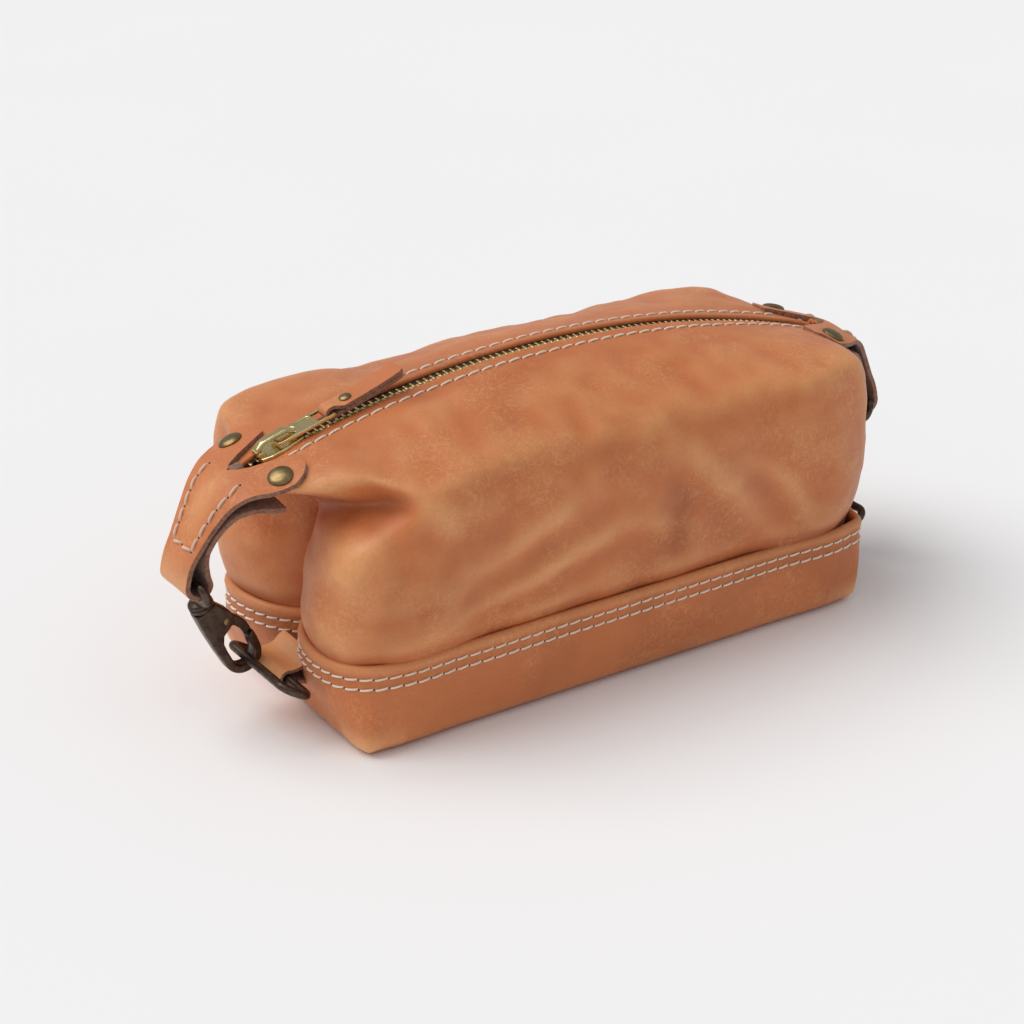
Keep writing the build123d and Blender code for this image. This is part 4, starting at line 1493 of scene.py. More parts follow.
@dataclass
class Zip:
    """Zip with cast brass teeth on woven tape."""

    layout: Layout
    shop: Workshop
    pitch: float = 3.2
    tooth_length: float = 1.55
    tooth_height: float = 2.3
    tooth_reach: float = 3.3
    overlap: float = 0.75
    drop: float = 2.9
    half_length: float = 145.0
    tape_inner: float = 1.9
    tape_outer: float = 8.2
    tape_thickness: float = 0.8
    tape_tip: float = 2.6
    mouth_spread: float = 1.9

    def tooth(self) -> bpy.types.Mesh:
        """One tooth with its rounded head, reaching along -Y from its root."""
        width = self.tooth_reach + self.overlap
        neck = self.tooth_length * 0.36
        half = self.tooth_length / 2
        plan = rounded([(-half, -width, 0.5), (half, -width, 0.5), (half, -width + 1.9, 0.3),
                        (neck, -width + 2.3, 0.2), (half, 0, 0.3), (-half, 0, 0.3),
                        (-neck, -width + 2.3, 0.2), (-half, -width + 1.9, 0.3)], 3)
        return Workshop.slab([plan], self.tooth_height, 0.45)

    def build(self) -> None:
        """Builds teeth, tape and stops on both sides."""
        tooth = self.tooth()
        for side in Side:
            self.build_teeth(side, tooth)
            self.build_tape(side)
        self.build_stops()

    def spread_at(self, x: Array | float) -> Array | float:
        """How far the rows have parted at a place, from 0 before the slider to 1 past it."""
        return smooth_step(-x, self.layout.slider_x - 4, self.layout.slider_x + 12)

    def build_teeth(self, side: Side, tooth: bpy.types.Mesh) -> None:
        """Builds one row of teeth; the two rows are half a pitch apart and mesh between the ends.

        Args:
            side: front or back.
            tooth: mesh of one tooth.
        """
        piece = Piece()
        count = int(2 * self.half_length / self.pitch)
        shift = self.pitch / 2 if side is Side.BACK else 0.0
        for i in range(count):
            x = -self.half_length + (i + 0.5) * self.pitch + shift
            if x > self.half_length:
                continue
            y = side.value * (self.tooth_reach + self.mouth_spread * float(self.spread_at(x)))
            place = self.layout.on_zip(x, y, -self.drop)
            turn = Matrix.Diagonal((1, side.value, 1, 1))
            piece.take(tooth, place @ turn)
        made = self.shop.build(f"zip_teeth_{side.word}_brass", piece, ["teeth"], 35)
        bend_with_lip(made)
        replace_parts(made, f"zip_teeth_{side.word}", "zip_end_teeth_left", "zip_end_teeth_right")

    def build_tape(self, side: Side) -> None:
        """Builds the tape on one side, with the cord that the teeth are cast on.

        Args:
            side: front or back.
        """
        piece = Piece()
        xs = np.linspace(-self.half_length - 1.5, self.half_length + 1.5, 260)
        past = self.spread_at(xs)
        flat, inner = self.tape_thickness / 2, self.tape_inner
        upper = [(inner, 0.55), (inner + 1.0, 0.75), (inner + 1.8, flat), (self.tape_outer, flat)]
        section = [(inner, 0.0), *upper, *[(y, -h) for y, h in reversed(upper)]]
        ends = 1 - smooth_step(np.abs(xs), self.half_length - 8, self.half_length + 4)
        rings = []
        for x, spread, share in zip(xs, past, ends):
            place = self.layout.on_zip(float(x), 0.0, -self.drop)
            limit = self.tape_tip + (self.tape_outer - self.tape_tip) * float(share)
            parted = self.mouth_spread * 0.6 * float(spread)
            rings.append([place @ Vector((0, side.value * (min(y, limit) + parted), h)) for y, h in section])
        count = len(section)
        faces = grid_faces(len(rings), count, wrap=True)
        faces.append(tuple(range(count)))
        faces.append(tuple((len(rings) - 1) * count + k for k in range(count))[::-1])
        piece.add([p for ring in rings for p in ring], faces)
        made = self.shop.build(f"zip_tape_{side.word}_weave", piece, ["tape"], 45)
        bend_with_lip(made)
        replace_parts(made, f"zip_tape_{side.word}", "zip_end_tape_left", "zip_end_tape_right")

    def build_stops(self) -> None:
        """Builds the two top stops under the left strap and the bottom stop under the right one."""
        x = self.half_length + 1.2
        half, height, bevel = 1.1, 3.0, 0.4
        clip = Workshop.slab([rounded_box(-half, half, 1.7, 0.4)], height, bevel)
        tops = Piece()
        for side in Side:
            tops.take(clip, self.layout.on_zip(-x, side.value * 1.9, -self.drop))
        made = self.shop.build("zip_top_stops_brass", tops, ["teeth"], 35)
        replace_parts(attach(made, "bag"), "zip_top_stops")
        box = Workshop.slab([rounded_box(-half, half, 3.2, 0.5)], height, bevel)
        bottom = Piece().take(box, self.layout.on_zip(x, 0.0, -self.drop))
        made = self.shop.build("zip_bottom_stop_brass", bottom, ["teeth"], 35)
        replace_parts(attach(made, "bag"), "zip_bottom_stop")


@dataclass
class SliderSet:
    """Slider with its bridge, the pull tab and the leather pull, where the slider is parked."""

    layout: Layout
    shop: Workshop
    length: float = 21.0
    width: float = 11.6
    bridge_width: float = 4.0
    tab_width: float = 10.0
    tab_thickness: float = 1.4
    pull_width: float = 9.6
    pull_leather: float = 1.7
    pull_length: float = 34.0

    def __post_init__(self) -> None:
        """Finds the slider's frame and its tab's two ends from the joints."""
        self.place = self.layout.on_zip(-self.layout.slider_x)
        back = self.place.inverted()
        self.tab_axis = back @ Vector(joint_place("pull_tab_lift"))
        self.pull_axis = back @ Vector(joint_place("leather_pull_lift"))

    def upright(self) -> Matrix:
        """Frame whose XY plane stands along the zip, for parts drawn from their side."""
        return self.place @ Matrix(((1, 0, 0, 0), (0, 0, -1, 0), (0, 1, 0, 0), (0, 0, 0, 1)))

    def build(self) -> None:
        """Builds the four pieces."""
        self.build_body()
        self.build_bridge()
        self.build_tab()
        self.build_pull()

    def build_body(self) -> None:
        """Top and bottom plates with their side flanges, and the wedge between them."""
        half, wide = self.length / 2, self.width / 2
        plan = rounded([(-half, -wide * 0.72, 1.6), (-half + 5.5, -wide, 2.2), (1.5, -wide, 2.4),
                        (half, -wide * 0.72, 1.2), (half, wide * 0.72, 1.2), (1.5, wide, 2.4),
                        (-half + 5.5, wide, 2.2), (-half, wide * 0.72, 1.6), (-half + 3.4, 0, 2.0)], 5)
        top = Workshop.slab([plan], 1.5, 0.5)
        bottom = Workshop.slab([plan], 1.3, 0.45)
        piece = Piece()
        piece.take(top, self.place @ Matrix.Translation((0, 0, 0.15)))
        piece.take(bottom, self.place @ Matrix.Translation((0, 0, -4.8)))
        point = [(-half + 1.6, -1.6, 0.6), (-half + 6.5, 0, 0.5), (-half + 1.6, 1.6, 0.6)]
        wedge = Workshop.slab([rounded(point, 4)], 4.0, 0.2)
        piece.take(wedge, self.place @ Matrix.Translation((0, 0, -2.3)))
        lug = Workshop.slab([rounded([(-half + 0.6, 0.6, 0.5), (-half + 4.6, 0.6, 0.5), (-half + 4.0, 2.4, 0.9),
                                      (-half + 1.4, 2.4, 0.9)])], 5.2, 0.5)
        piece.take(lug, self.upright())
        made = self.shop.build("zip_slider_brass", piece, ["polished"], 32)
        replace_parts(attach(made, "slider"), "zip_slider")

    def build_bridge(self) -> None:
        """Long rounded arch that holds the tab."""
        half = self.length / 2
        outline = rounded([(-half + 0.8, 0.7, 0.3), (-half + 0.2, 3.6, 2.2), (-half + 4.5, 6.1, 4.0),
                           (half - 5.2, 6.3, 3.2), (half - 1.0, 3.2, 1.6), (half - 1.2, 0.7, 0.3),
                           (half - 3.2, 0.7, 0.3), (half - 3.4, 2.6, 1.0), (half - 5.8, 4.5, 2.0),
                           (-half + 5.0, 4.4, 2.6), (-half + 2.6, 2.6, 1.4), (-half + 2.8, 0.7, 0.3)], 6)
        piece = Piece().take(Workshop.slab([outline], self.bridge_width, 0.8), self.upright())
        made = self.shop.build("slider_bridge_brass", piece, ["polished"], 40)
        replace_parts(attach(made, "slider"), "slider_bridge")

    def build_tab(self) -> None:
        """Pull tab with an eye for the bridge, a plain recess and a slot for the leather."""
        s0, s1, h = self.tab_axis.x, self.pull_axis.x, self.tab_axis.z
        half = self.tab_width / 2
        low, high = s0 - 0.9, s1 + 0.9
        outline = rounded([(low, -half * 0.86, 1.4), (low + 7.0, -half * 0.94, 6.0), (high, -half, 1.3),
                           (high, half, 1.3), (low + 7.0, half * 0.94, 6.0), (low, half * 0.86, 1.4)], 6)
        eye_half = self.bridge_width / 2 + 0.7
        eye = rounded([(low + 1.9, -eye_half, 1.0), (low + 10.4, -eye_half, 1.8), (low + 10.4, eye_half, 1.8),
                       (low + 1.9, eye_half, 1.0)], 5)
        slot_half = 3.5
        slot = rounded_box(high - 7.6, high - 2.0, slot_half, 0.8, 5)
        recess = rounded_box(low + 12.0, high - 8.8, slot_half, 0.7, 5)
        piece = Piece()
        piece.take(Workshop.slab([outline, eye, slot, recess], self.tab_thickness, 0.32),
                   self.place @ Matrix.Translation((0, 0, h)))
        backing = rounded_box(low + 11.4, high - 8.2, slot_half + 0.6, 0.7, 4)
        piece.take(Workshop.slab([backing], 0.8, 0.15), self.place @ Matrix.Translation((0, 0, h - 0.15)))
        for s, length in ((s0, half * 0.8), (s1, half * 0.9)):
            path = [self.place @ Vector((s, y, h)) for y in np.linspace(-length, length, 5)]
            piece.tube(np.array([tuple(p) for p in path]), 0.9, 12)
        made = self.shop.build("pull_tab_brass", piece, ["polished"], 35)
        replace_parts(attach(made, "pull_tab"), "pull_tab")

    def pull_line(self) -> Array:
        """Middle of the folded strip as (s, h): along the top leaf, round the bar and back below.

        Returns:
            Points along the strip.
        """
        s1, h = self.pull_axis.x, self.pull_axis.z
        leaf = self.pull_leather / 2 + 0.04
        ring = 0.9 + 0.35 + self.pull_leather / 2
        lift = [(34.0, 1.3), (26.0, 0.6), (17.0, 0.15), (9.0, 0.0), (5.4, 0.0)]
        top = [(s1 + s, h + leaf + rise) for s, rise in lift]
        arc = [(s1 + ring * math.cos(a), h + ring * math.sin(a)) for a in np.radians(range(75, 286, 35))]
        below = [(s1 + s * 0.99, h - leaf + rise) for s, rise in reversed(lift)]
        return through(np.array(top + arc + below, float), 110)

    def build_pull(self) -> None:
        """Leather pull with its narrow neck and small rivet."""
        line = self.pull_line()
        s1 = self.pull_axis.x
        reach = line[:, 0] - s1
        neck, wide = 3.1, self.pull_width / 2
        half = neck + (wide - neck) * smooth_step(reach, 1.4, 6.0)
        tip = smooth_step(reach, self.pull_length - 2.2, self.pull_length)
        half = half - 0.9 * tip
        shares = np.linspace(-1, 1, 13)
        grid = np.array([[tuple(self.place @ Vector((s, y * w, z))) for y in shares]
                         for (s, z), w in zip(line, half)])
        faces = grid_faces(len(line), len(shares))
        mesh = mesh_of("leather_pull_strip", grid.reshape(-1, 3), faces)
        if mesh.polygons[6].normal.z < 0:
            mesh.flip_normals()
        wear = np.repeat(0.35 * (1 - smooth_step(np.abs(reach - 3), 2.0, 7.0)), len(shares))
        made = self.shop.finish("leather_pull_strip", mesh, ["leather", "suede", "suede"], 60, {"wear": wear})
        self.shop.swell(mesh, self.pull_leather / 2)
        self.shop.thicken(made, self.pull_leather, 0.3)
        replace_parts(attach(made, "leather_pull"), "leather_pull")
        self.build_pull_rivet()

    def build_pull_rivet(self) -> None:
        """Small domed rivet through both leaves."""
        top = self.pull_leather + 0.05
        spot = self.place @ Matrix.Translation((self.pull_axis.x + 8.5, 0, self.pull_axis.z))
        piece = Piece()
        piece.lathe([(0.05, top + 1.15), (1.3, top + 1.08), (2.2, top + 0.8), (2.6, top + 0.4),
                     (2.55, top + 0.02), (1.0, top - 0.4)], spot, 32)
        piece.lathe([(0.9, -top + 0.3), (2.1, -top - 0.02), (2.1, -top - 0.35), (0.05, -top - 0.6)], spot, 32)
        made = self.shop.build("pull_rivet_brass", piece, ["antique"], 40)
        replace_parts(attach(made, "leather_pull"), "pull_rivet")


# End strap


@dataclass
class EndStrap:
    """Strap over each end of the zip, folded in two round the eye of the snap."""

    layout: Layout
    shop: Workshop
    panels: UpperPanels
    leather: float = 2.1
    loop_half: float = 11.0
    ear_start: float = 126.0
    rivet_x: float = 137.0
    rivet_y: float = 20.0
    rivet_radius: float = 5.1
    rivet_dome: float = 2.0
    loop_radius: float = 4.95
    notch_end: float = 149.0
    stitches_start: float = 149.5
    stitches_foot: float = 82.0
    across: int = 17
    along: int = 150

    def __post_init__(self) -> None:
        """Finds the eye and makes a tree of the panels to lay the ears on."""
        self.eye = joint_place("snap_swing_left")
        trees = []
        for grid in self.panels.grids.values():
            faces = grid_faces(*grid.shape[:2])
            trees.append(BVHTree.FromPolygons([tuple(p) for p in grid.reshape(-1, 3)], faces))
        self.trees = trees

    def leather_top(self, x: float, y: float) -> float:
        """Height of the panels' outer face under a place, or 0 where there is none."""
        hits = [tree.ray_cast(Vector((x, y, 180.0)), Vector((0, 0, -1)))[0] for tree in self.trees]
        return max((hit.z for hit in hits if hit is not None), default=0.0)

    def line(self) -> Array:
        """Middle of the leather as (x, z), from the ears, round the eye and back under the top.

        Returns:
            Points along the strap.
        """
        top = [(-x, float(self.layout.zip_z(x)) + 1.45) for x in (self.ear_start, 132.0, 138.0, 144.0, 150.0)]
        slope = [(-156.0, 101.8), (-162.0, 93.2), (-167.8, 83.2), (-172.3, 74.8)]
        radius = self.loop_radius
        ex, ez = self.eye[0], self.eye[2]
        loop = [(ex + radius * math.cos(a), ez + radius * math.sin(a)) for a in np.radians(range(160, 341, 20))]
        lower = [(-165.0, 72.0), (-165.2, 77.8), (-163.0, 84.6), (-158.9, 91.8), (-154.0, 97.2), (-148.5, 99.6),
                 (-142.5, 99.6), (-136.0, 98.2)]
        return np.array(top + slope + loop + lower, float)

    def half_width(self, x: float, lower: bool) -> float:
        """Half width of the strap at a place along it.

        Args:
            x: place along the bag.
            lower: whether it is the leaf under the top one.

        Returns:
            The half width.
        """
        if lower:
            places = [136, 141, 149, 156, 161, 164.5]
            return float(np.interp(-x, places, [22.0, 23.0, 20.4, 16.6, 13.6, self.loop_half]))
        places = [self.ear_start, 127.2, 130, 134, 139, 144, 150, 156, 161, 165, 169, 172]
        widths = [22.0, 24.6, 26.8, 27.8, 27.2, 25.2, 21.6, 18.0, 15.2, 13.2, 11.6, self.loop_half]
        return float(np.interp(-x, places, widths))

    def notch(self, x: float) -> float:
        """Half width of the notch over the slider at a place."""
        wide = float(np.interp(-x, [self.ear_start, 141.5, 146.2, self.notch_end], [13.2, 6.4, 3.4, 0.0]))
        return wide if wide > 0.9 else 0.0

    def grid(self) -> Array:
        """Middle surface of half the strap.

        Returns:
            Its points, one row per place along the strap, from its middle line outwards.
        """
        line = through(self.line(), self.along)
        turn = int(np.argmin(line[:, 1]))
        rows, widths = [], []
        bevel = 1.4
        for i, (x, z) in enumerate(line):
            lower = i > turn
            wide = self.half_width(x, lower)
            near_tip = max(0.0, 1 - (i / 4)) * bevel
            inner = 0.0 if lower or -x > self.notch_end else self.notch(x)
            shares = np.linspace(0, 1, self.across)
            y = inner + (wide - near_tip - inner) * shares
            rows.append([(x, -v, z) for v in y])
            widths.append(y)
        grid, widths = np.array(rows), np.array(widths)
        for i in range(grid.shape[0]):
            if i > turn:
                droop = 0.0035 * widths[i] ** 2 * smooth_step(-line[i, 0], 166, 152)
                grid[i, :, 2] -= droop
                continue
            ear = float(smooth_step(-line[i, 0], 160, 146))
            for j in range(grid.shape[1]):
                x, y, z = grid[i, j]
                arch = z - 0.0050 * y * y * smooth_step(-x, 170, 150)
                puff = 1.5 * math.exp(-((y / 6.5) ** 2)) * math.exp(-(((x + 160) / 9.0) ** 2))
                under = self.leather_top(x, y)
                if under > 90:
                    arch = arch + (under + 1.35 - arch) * ear * float(smooth_step(abs(y), 9, 14))
                    arch = max(arch, under + 1.25)
                grid[i, j, 2] = arch + puff
        grid[:turn, :, 2] = soften(soften(grid[:turn, :, 2:], 3), 2)[..., 0]
        return grid

    def strap_mesh(self, grid: Array) -> tuple[Piece, Array]:
        """Joins the half and its mirror image on the middle line, leaving the notch open.

        Args:
            grid: middle surface of half the strap.

        Returns:
            The piece, and its points as an array.
        """
        rows, columns = grid.shape[:2]
        piece = Piece()
        points = [tuple(p) for p in grid.reshape(-1, 3)]
        mirror = {}
        for i in range(rows):
            for j in range(columns):
                k = i * columns + j
                x, y, z = points[k]
                if abs(y) < 1e-6:
                    mirror[k] = k
                else:
                    mirror[k] = len(points)
                    points.append((x, -y, z))
        faces = grid_faces(rows, columns)
        piece.add(points, faces + [tuple(mirror[k] for k in f)[::-1] for f in faces])
        return piece, np.array(points)

    def build(self) -> None:
        """Builds the strap, its stitches and its rivets at both ends."""
        grid = self.grid()
        for end in End:
            turn = FLAT if end is End.LEFT else MIRROR_X
            self.build_strap(end, grid, turn)
            self.build_stitches(end, grid, turn)
            self.build_rivets(end, grid, turn)

    def build_strap(self, end: End, grid: Array, turn: Matrix) -> None:
        """Builds one strap.

        Args:
            end: which end.
            grid: middle surface of half the strap.
            turn: matrix from the left end to this one.
        """
        piece, points = self.strap_mesh(grid)
        name = f"end_strap_{end.word}_leather"
        mesh = bpy.data.meshes.new(name)
        mesh.from_pydata([tuple(turn @ Vector(p) * MM) for p in points], [], piece.faces)
        top = min(range(len(mesh.polygons)), key=lambda k: (mesh.polygons[k].center / MM
                                                            - turn @ Vector((-138, -15, 110))).length)
        if mesh.polygons[top].normal.z < 0:
            mesh.flip_normals()
        wear = 0.55 * np.exp(-(((points[:, 2] - 66) / 9.0) ** 2))
        wear = wear + 0.5 * np.exp(-((points[:, 1] / 7.0) ** 2)) * np.exp(-(((points[:, 0] + 160) / 7.0) ** 2))
        made = self.shop.finish(name, mesh, ["leather", "suede", "suede"], 60, {"wear": np.clip(wear, 0, 1)})
        self.shop.swell(mesh, self.leather / 2)
        self.shop.thicken(made, self.leather, 0.3, even=False)
        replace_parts(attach(made, "bag"), f"end_strap_{end.word}")

    def build_stitches(self, end: End, grid: Array, turn: Matrix) -> None:
        """Builds the two rows of thread down the strap and the short one across its foot.

        Args:
            end: which end.
            grid: middle surface of half the strap.
            turn: matrix from the left end to this one.
        """
        normals = grid_normals(grid)
        if normals[10, 8][2] < 0:
            normals = -normals
        outer = grid + normals * (self.leather / 2)
        turn_row = int(np.argmin(grid[:, 0, 2]))
        path, out = [], []
        for i in range(turn_row):
            x, z = outer[i, 0, 0], outer[i, 0, 2]
            if -x < self.stitches_start or z < self.stitches_foot:
                continue
            want = float(np.interp(z, [self.stitches_foot, 90, 98, 105], [7.4, 8.6, 10.4, 12.6]))
            y = np.abs(outer[i, :, 1])
            path.append([np.interp(want, y, outer[i, :, k]) for k in range(3)])
            out.append([np.interp(want, y, normals[i, :, k]) for k in range(3)])
        path, out = np.array(path), unit(np.array(out))
        thread = SewingThread(pitch=6.2, length=5.6, radius=0.62, sink=0.8, lean=0.9, hole_radius=0.6)
        piece = Piece()
        flip = np.array([1.0, -1.0, 1.0])
        thread.sew(piece, path, out)
        thread.sew(piece, path * flip, out * flip)
        foot = np.linspace(path[-1], path[-1] * flip, 12)
        foot_row = int(np.argmin(np.abs(outer[:turn_row, 0, 2] - path[-1][2])))
        middle = outer[foot_row, 0]
        shift = (middle - foot) * np.array([1.0, 0.0, 1.0])
        foot = foot + shift * (1 - np.abs(foot[:, 1:2]) / abs(path[-1][1]))
        thread.sew(piece, foot, np.repeat(normals[foot_row, 0][None, :], 12, axis=0))
        piece.vertices = [tuple(turn @ Vector(p)) for p in piece.vertices]
        made = self.shop.build(f"strap_stitches_{end.word}", piece, ["strap_thread", "hole"], 60)
        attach(made, "bag")

    def build_rivets(self, end: End, grid: Array, turn: Matrix) -> None:
        """Builds the two domed rivets beside the notch.

        Args:
            end: which end.
            grid: middle surface of half the strap.
            turn: matrix from the left end to this one.
        """
        turn_row = int(np.argmin(grid[:, 0, 2]))
        half = grid[:turn_row].reshape(-1, 3)
        normals = grid_normals(grid)[:turn_row].reshape(-1, 3)
        nearest = int(np.argmin(np.hypot(half[:, 0] + self.rivet_x, half[:, 1] + self.rivet_y)))
        spot, normal = half[nearest], normals[nearest]
        if normal[2] < 0:
            normal = -normal
        r, t = self.rivet_radius, self.leather / 2
        profile = [(0.05, t + self.rivet_dome), (0.35 * r, t + 0.96 * self.rivet_dome),
                   (0.65 * r, t + 0.82 * self.rivet_dome), (0.88 * r, t + 0.58 * self.rivet_dome),
                   (r, t + 0.26 * self.rivet_dome), (0.99 * r, t + 0.02), (0.7 * r, t - 0.3)]
        piece = Piece()
        for side in Side:
            flip = np.array([1.0, -float(side.value), 1.0])
            n = normal * flip
            p = spot * flip
            across = np.cross(n, (1.0, 0.0, 0.0))
            place = turn @ frame_at(p, np.cross(across, n), across)
            piece.lathe(profile, place, 40)
            piece.lathe([(1.7, t), (1.7, -5.2), (0.05, -5.4)], place, 16)
        made = self.shop.build(f"strap_rivets_{end.word}_brass", piece, ["antique"], 40)
        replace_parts(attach(made, "bag"), f"strap_rivets_{end.word}")


# Swivel snap


@dataclass
class SwivelSnap:
    """Cast snap: a forked eye with a collar, a hook body and its sprung gate."""

    shop: Workshop
    wire: float = 1.75
    leg_y: float = 13.2
    collar_top: float = 12.0
    collar_bottom: float = 16.5
    collar_radius: float = 5.2
    body_thickness: float = 6.0
    hook_w: float = 5.4
    hook_u: float = 44.2
    hook_outer: float = 8.3
    hook_inner: float = 4.8
    pin_w: float = 5.6
    pin_u: float = 26.4
    gate_width: float = 3.4

    def frame(self, end: End) -> Matrix:
        """The snap's frame: X towards the bag, Y down along the snap."""
        eye = joint_place("snap_swing_left")
        down = np.array(joint("snap_swivel_left")["axis"])
        towards = (-down[2], 0.0, down[0])
        place = frame_at(eye, towards, down)
        return place if end is End.LEFT else MIRROR_X @ place

    def build(self) -> None:
        """Builds the snap at both ends."""
        for end in End:
            place = self.frame(end)
            self.build_eye(end, place)
            self.build_body(end, place)
            self.build_gate(end, place)

    def build_eye(self, end: End, place: Matrix) -> None:
        """Bar through the strap's loop, two legs that come together, and the collar.

        Args:
            end: which end.
            place: the snap's frame.
        """
        piece = Piece()
        leg = self.leg_y
        corners = [(0.0, 0.0), (0.0, leg - 3.2), (0.25, leg - 1.0), (1.4, leg - 0.1), (3.4, leg),
                   (6.2, leg - 0.7), (8.6, leg - 3.4), (10.4, leg - 7.6), (11.6, 2.6), (12.6, 0.6)]
        half = through(np.array(corners, float), 50)
        wire = self.wire
        swell = np.interp(half[:, 0], [0, 3, 8, 12], [wire * 0.95, wire, wire * 1.15, wire * 1.25])
        for side in Side:
            path = np.array([tuple(place @ Vector((0.0, u, side.value * y))) for u, y in half])
            piece.tube(path, swell, 16)
        neck = place @ Matrix(((1, 0, 0, 0), (0, 0, 1, 0), (0, 1, 0, 0), (0, 0, 0, 1)))
        r, low, high = self.collar_radius, self.collar_top, self.collar_bottom
        piece.lathe([(0.05, low - 1.0), (1.9, low - 0.9), (2.6, low - 0.1), (r - 0.9, low + 0.2),
                     (r - 0.2, low + 0.9), (r, low + 1.7), (r - 0.55, low + 2.25), (r, low + 2.8),
                     (r - 0.1, high - 0.7), (r - 0.6, high - 0.1), (2.2, high), (0.05, high)], neck, 32)
        piece.lathe([(1.9, high - 0.2), (1.9, high + 4.6), (2.5, high + 4.9), (2.5, high + 5.4),
                     (0.05, high + 5.5)], neck, 20)
        made = self.shop.build(f"snap_eye_{end.word}_bronze", piece, ["bronze"], 40)
        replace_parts(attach(made, f"snap_eye_{end.word}"), f"snap_eye_{end.word}")

    def build_body(self, end: End, place: Matrix) -> None:
        """Hook body: ferrule, shoulder with the pin, long shank and the round hook.

        Args:
            end: which end.
            place: the snap's frame.
        """
        w0, u0, ro, ri = self.hook_w, self.hook_u, self.hook_outer, self.hook_inner

        def on_hook(radius: float, first: float, last: float, steps: int) -> list[tuple[float, float, float]]:
            """Points on a round of the hook; angles from +w, growing towards +u."""
            return [(w0 + radius * math.cos(a), u0 + radius * math.sin(a), 0.0)
                    for a in np.radians(np.linspace(first, last, steps))]

        outline = rounded([(4.9, 16.9, 0.3), (5.6, 18.0, 0.8), (8.4, 22.6, 2.0), (9.2, 25.6, 1.6),
                           (8.0, 28.8, 1.4), (4.8, 30.6, 1.5), (2.0, 31.8, 1.5), (0.4, 35.0, 2.0), (0.35, 39.0, 1.0),
                           *on_hook(ri, 188, 0, 22), (10.25, 41.0, 0.0), (10.35, 38.7, 0.5), (13.5, 36.7, 0.6),
                           (13.75, 40.5, 0.0), *on_hook(ro, 0, 166, 24), (-3.9, 36.0, 4.0), (-4.6, 27.0, 3.0),
                           (-4.9, 19.0, 0.5), (-4.9, 16.9, 0.3)], 5)
        piece = Piece()
        flat = self.shop.slab([outline], self.body_thickness, 0.7)
        piece.take(flat, place)
        pin = place @ Matrix.Translation((self.pin_w, self.pin_u, 0))
        half = self.body_thickness / 2
        for face in (1, -1):
            piece.lathe([(1.5, face * (half - 0.3)), (1.5, face * (half + 0.15)), (1.1, face * (half + 0.4)),
                         (0.05, face * (half + 0.5))], pin, 20, 1)
        made = self.shop.build(f"snap_body_{end.word}_bronze", piece, ["bronze", "antique"], 38)
        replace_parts(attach(made, f"snap_hook_{end.word}"), f"snap_body_{end.word}")

    def build_gate(self, end: End, place: Matrix) -> None:
        """Gate between the body's cheeks, from its pin to just short of the hook's nose.

        Args:
            end: which end.
            place: the snap's frame.
        """
        outline = rounded([(4.3, 24.4, 0.8), (6.9, 24.1, 1.0), (8.8, 25.8, 1.5), (11.2, 28.7, 2.0),
                           (12.8, 32.0, 2.0), (13.3, 36.1, 0.4), (10.05, 37.8, 0.4), (9.4, 34.0, 2.0),
                           (7.8, 31.0, 2.0), (5.2, 28.9, 1.0), (3.7, 26.6, 0.8)], 5)
        piece = Piece().take(self.shop.slab([outline], self.gate_width, 0.5), place)
        made = self.shop.build(f"snap_gate_{end.word}_bronze", piece, ["bronze"], 40)
        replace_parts(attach(made, f"snap_gate_{end.word}"), f"snap_gate_{end.word}")


# Ring keeper


@dataclass
class RingKeeper:
    """Leather loop sewn low on each end that holds the ring."""

    layout: Layout
    shop: Workshop
    leather: float = 1.6
    inner: float = 2.3
    width: float = 25.0
    middle_y: float = -7.0

    def build(self) -> None:
        """Builds the keeper at both ends."""
        axis = joint_place("ring_swing_left")
        for end in End:
            self.build_one(end, axis)

    def build_one(self, end: End, axis: Array) -> None:
        """Builds one keeper round the ring's inner bar.

        Args:
            end: which end.
            axis: middle of the ring's inner bar.
        """
        x0, z0 = axis[0], axis[2]
        r = self.inner + self.leather / 2
        wall = -self.layout.half_length + 2.6
        arc = [(x0 + r * math.cos(a), z0 + r * math.sin(a)) for a in np.radians(range(70, 291, 20))]
        upper = [(wall, z0 + 7.2), (wall - 2.0, z0 + 6.4), (wall - 4.8, z0 + 4.0)]
        lower = [(wall - 5.4, z0 - 3.4), (wall - 2.6, z0 - 4.9), (wall, z0 - 6.0)]
        line = through(np.array(upper + arc + lower, float), 90)
        half = self.width / 2
        shares = np.linspace(-1, 1, 15)
        grid = []
        for x, z in line:
            bulge = 0.5 * math.cos((z - z0) / 6.0)
            grid.append([(x - bulge * (1 - s * s), self.middle_y + s * half, z) for s in shares])
        grid = np.array(grid)
        if end is End.RIGHT:
            grid[..., 0] *= -1
        name = f"ring_keeper_{end.word}_leather"
        mesh = mesh_of(name, grid.reshape(-1, 3), grid_faces(*grid.shape[:2]))
        middle = mesh.polygons[len(mesh.polygons) // 2]
        if middle.normal.x * end.value < 0:
            mesh.flip_normals()
        wear = np.full(len(mesh.vertices), 0.75)
        made = self.shop.finish(name, mesh, ["leather", "suede", "suede"], 60, {"wear": wear})
        self.shop.swell(mesh, self.leather / 2)
        self.shop.thicken(made, self.leather, 0.3)
        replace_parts(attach(made, "bag"), f"ring_keeper_{end.word}")


# Studio


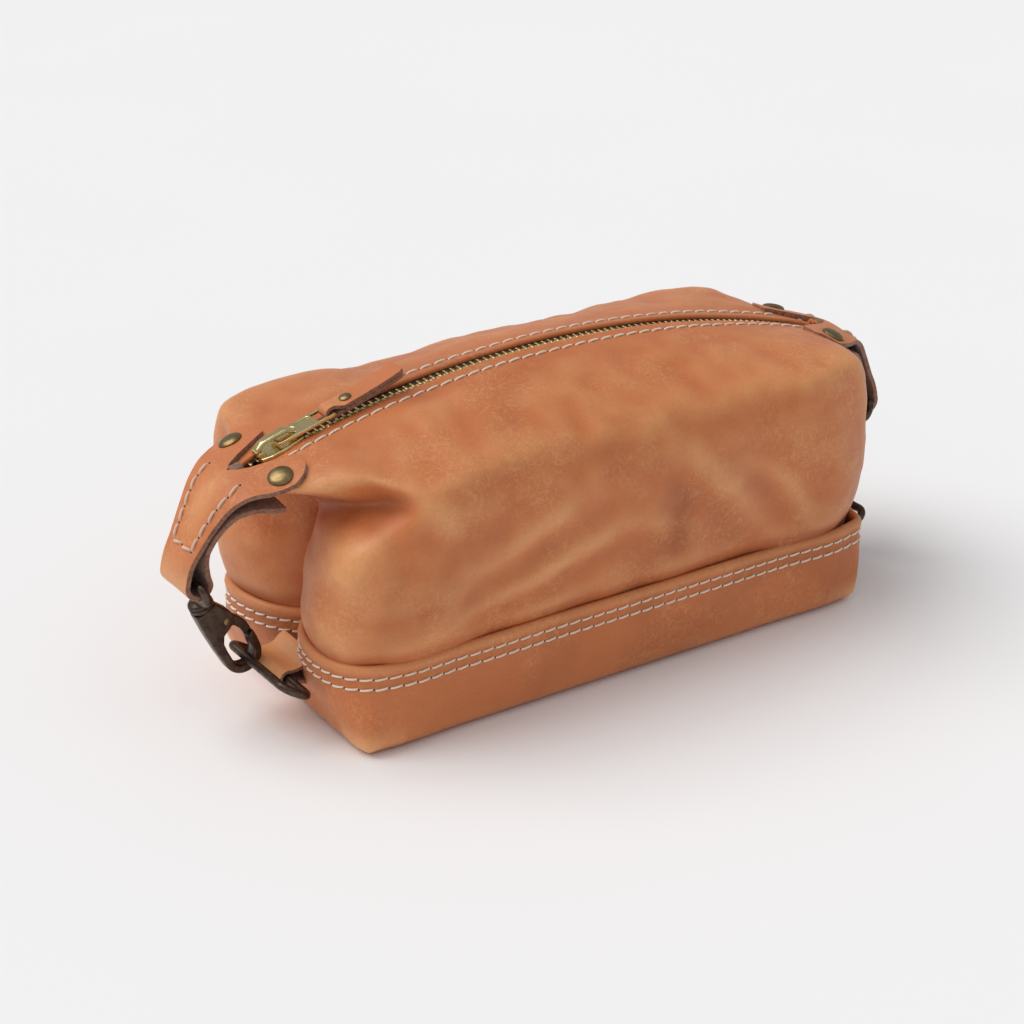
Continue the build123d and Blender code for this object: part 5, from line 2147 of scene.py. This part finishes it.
@dataclass
class Studio:
    """Pale paper sweep, soft lights and the camera."""

    azimuth: float = -33.63
    elevation: float = 24.87
    distance: float = 1016.5
    target: tuple[float, float, float] = (-17.7, 0.0, 56.8)
    lens: float = 85.0
    sensor: float = 36.0
    paper_reach: float = 9.0
    room_colour: tuple[float, float, float, float] = (0.94, 0.96, 1.0, 1.0)
    room_strength: float = 0.392

    def build(self) -> None:
        """Builds floor, lights and camera."""
        self.build_floor()
        self.build_lights()
        self.build_camera()

    def build_floor(self) -> None:
        """A wide sheet of paper."""
        reach = np.linspace(-self.paper_reach, self.paper_reach, 25)
        grid = np.array([[(x, y, 0.0) for x in reach] for y in reach])
        mesh = bpy.data.meshes.new("paper")
        mesh.from_pydata([tuple(p) for p in grid.reshape(-1, 3)], [], grid_faces(*grid.shape[:2]))
        mesh.materials.append(StudioPaper().make())
        placed("paper", mesh)

    def light(self, name: str, towards: tuple[float, float, float], strength: float, angle: float,
              colour: tuple[float, float, float]) -> None:
        """Adds one soft light from far away.

        Args:
            name: its name.
            towards: direction from the bag to the light.
            strength: in watts per square metre.
            angle: how wide it looks from the bag, in degrees.
            colour: its colour.
        """
        lamp = bpy.data.lights.new(name, "SUN")
        lamp.energy = strength
        lamp.angle = math.radians(angle)
        lamp.color = colour
        made = placed(name, lamp)
        made.rotation_euler = Vector(towards).to_track_quat("Z", "Y").to_euler()

    def build_lights(self) -> None:
        """Main light from behind and to the left, a softer one overhead, and the room's own light."""
        self.light("window", (-0.50, 0.42, 0.98), 1.72, 50.0, (1.0, 0.985, 0.965))
        self.light("overhead", (-0.20, -0.45, 1.0), 0.34, 80.0, (1.0, 0.985, 0.97))
        world = bpy.data.worlds.new("room")
        bpy.context.scene.world = world
        world.use_nodes = True
        background = world.node_tree.nodes["Background"]
        background.inputs["Color"].default_value = self.room_colour
        background.inputs["Strength"].default_value = self.room_strength

    def build_camera(self) -> None:
        """Long lens from the front left, looking slightly down."""
        az, el = math.radians(self.azimuth), math.radians(self.elevation)
        back = Vector((math.sin(az) * math.cos(el), -math.cos(az) * math.cos(el), math.sin(el)))
        lens = bpy.data.cameras.new("camera")
        lens.lens = self.lens
        lens.sensor_width = self.sensor
        made = placed("camera", lens)
        made.location = (Vector(self.target) + back * self.distance) * MM
        made.rotation_euler = (-back).to_track_quat("-Z", "Y").to_euler()
        bpy.context.scene.camera = made


def dress_frame(finishes: Finishes) -> None:
    """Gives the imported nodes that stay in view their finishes.

    Args:
        finishes: every material.
    """
    keys = {slot: key for key, slot in reversed(finishes.slots.items())}
    for row in frame["record"]["subparts"]:
        made = frame["nodes"][row["node"]]
        made.data.materials.clear()
        made.data.materials.append(finishes[keys[row["material_slot"]]])


def main() -> None:
    """Builds the bag and its studio."""
    logging.basicConfig(level=logging.INFO, format="%(message)s")
    bpy.context.scene.view_settings.view_transform = "Standard"
    finishes = Finishes()
    shop = Workshop(finishes)
    layout = Layout.read()
    dress_frame(finishes)
    BaseBand(layout, shop).build()
    panels = UpperPanels(layout, shop)
    panels.build()
    Zip(layout, shop).build()
    SliderSet(layout, shop).build()
    EndStrap(layout, shop, panels).build()
    SwivelSnap(shop).build()
    RingKeeper(layout, shop).build()
    Studio().build()


if __name__ == "__main__":
    main()
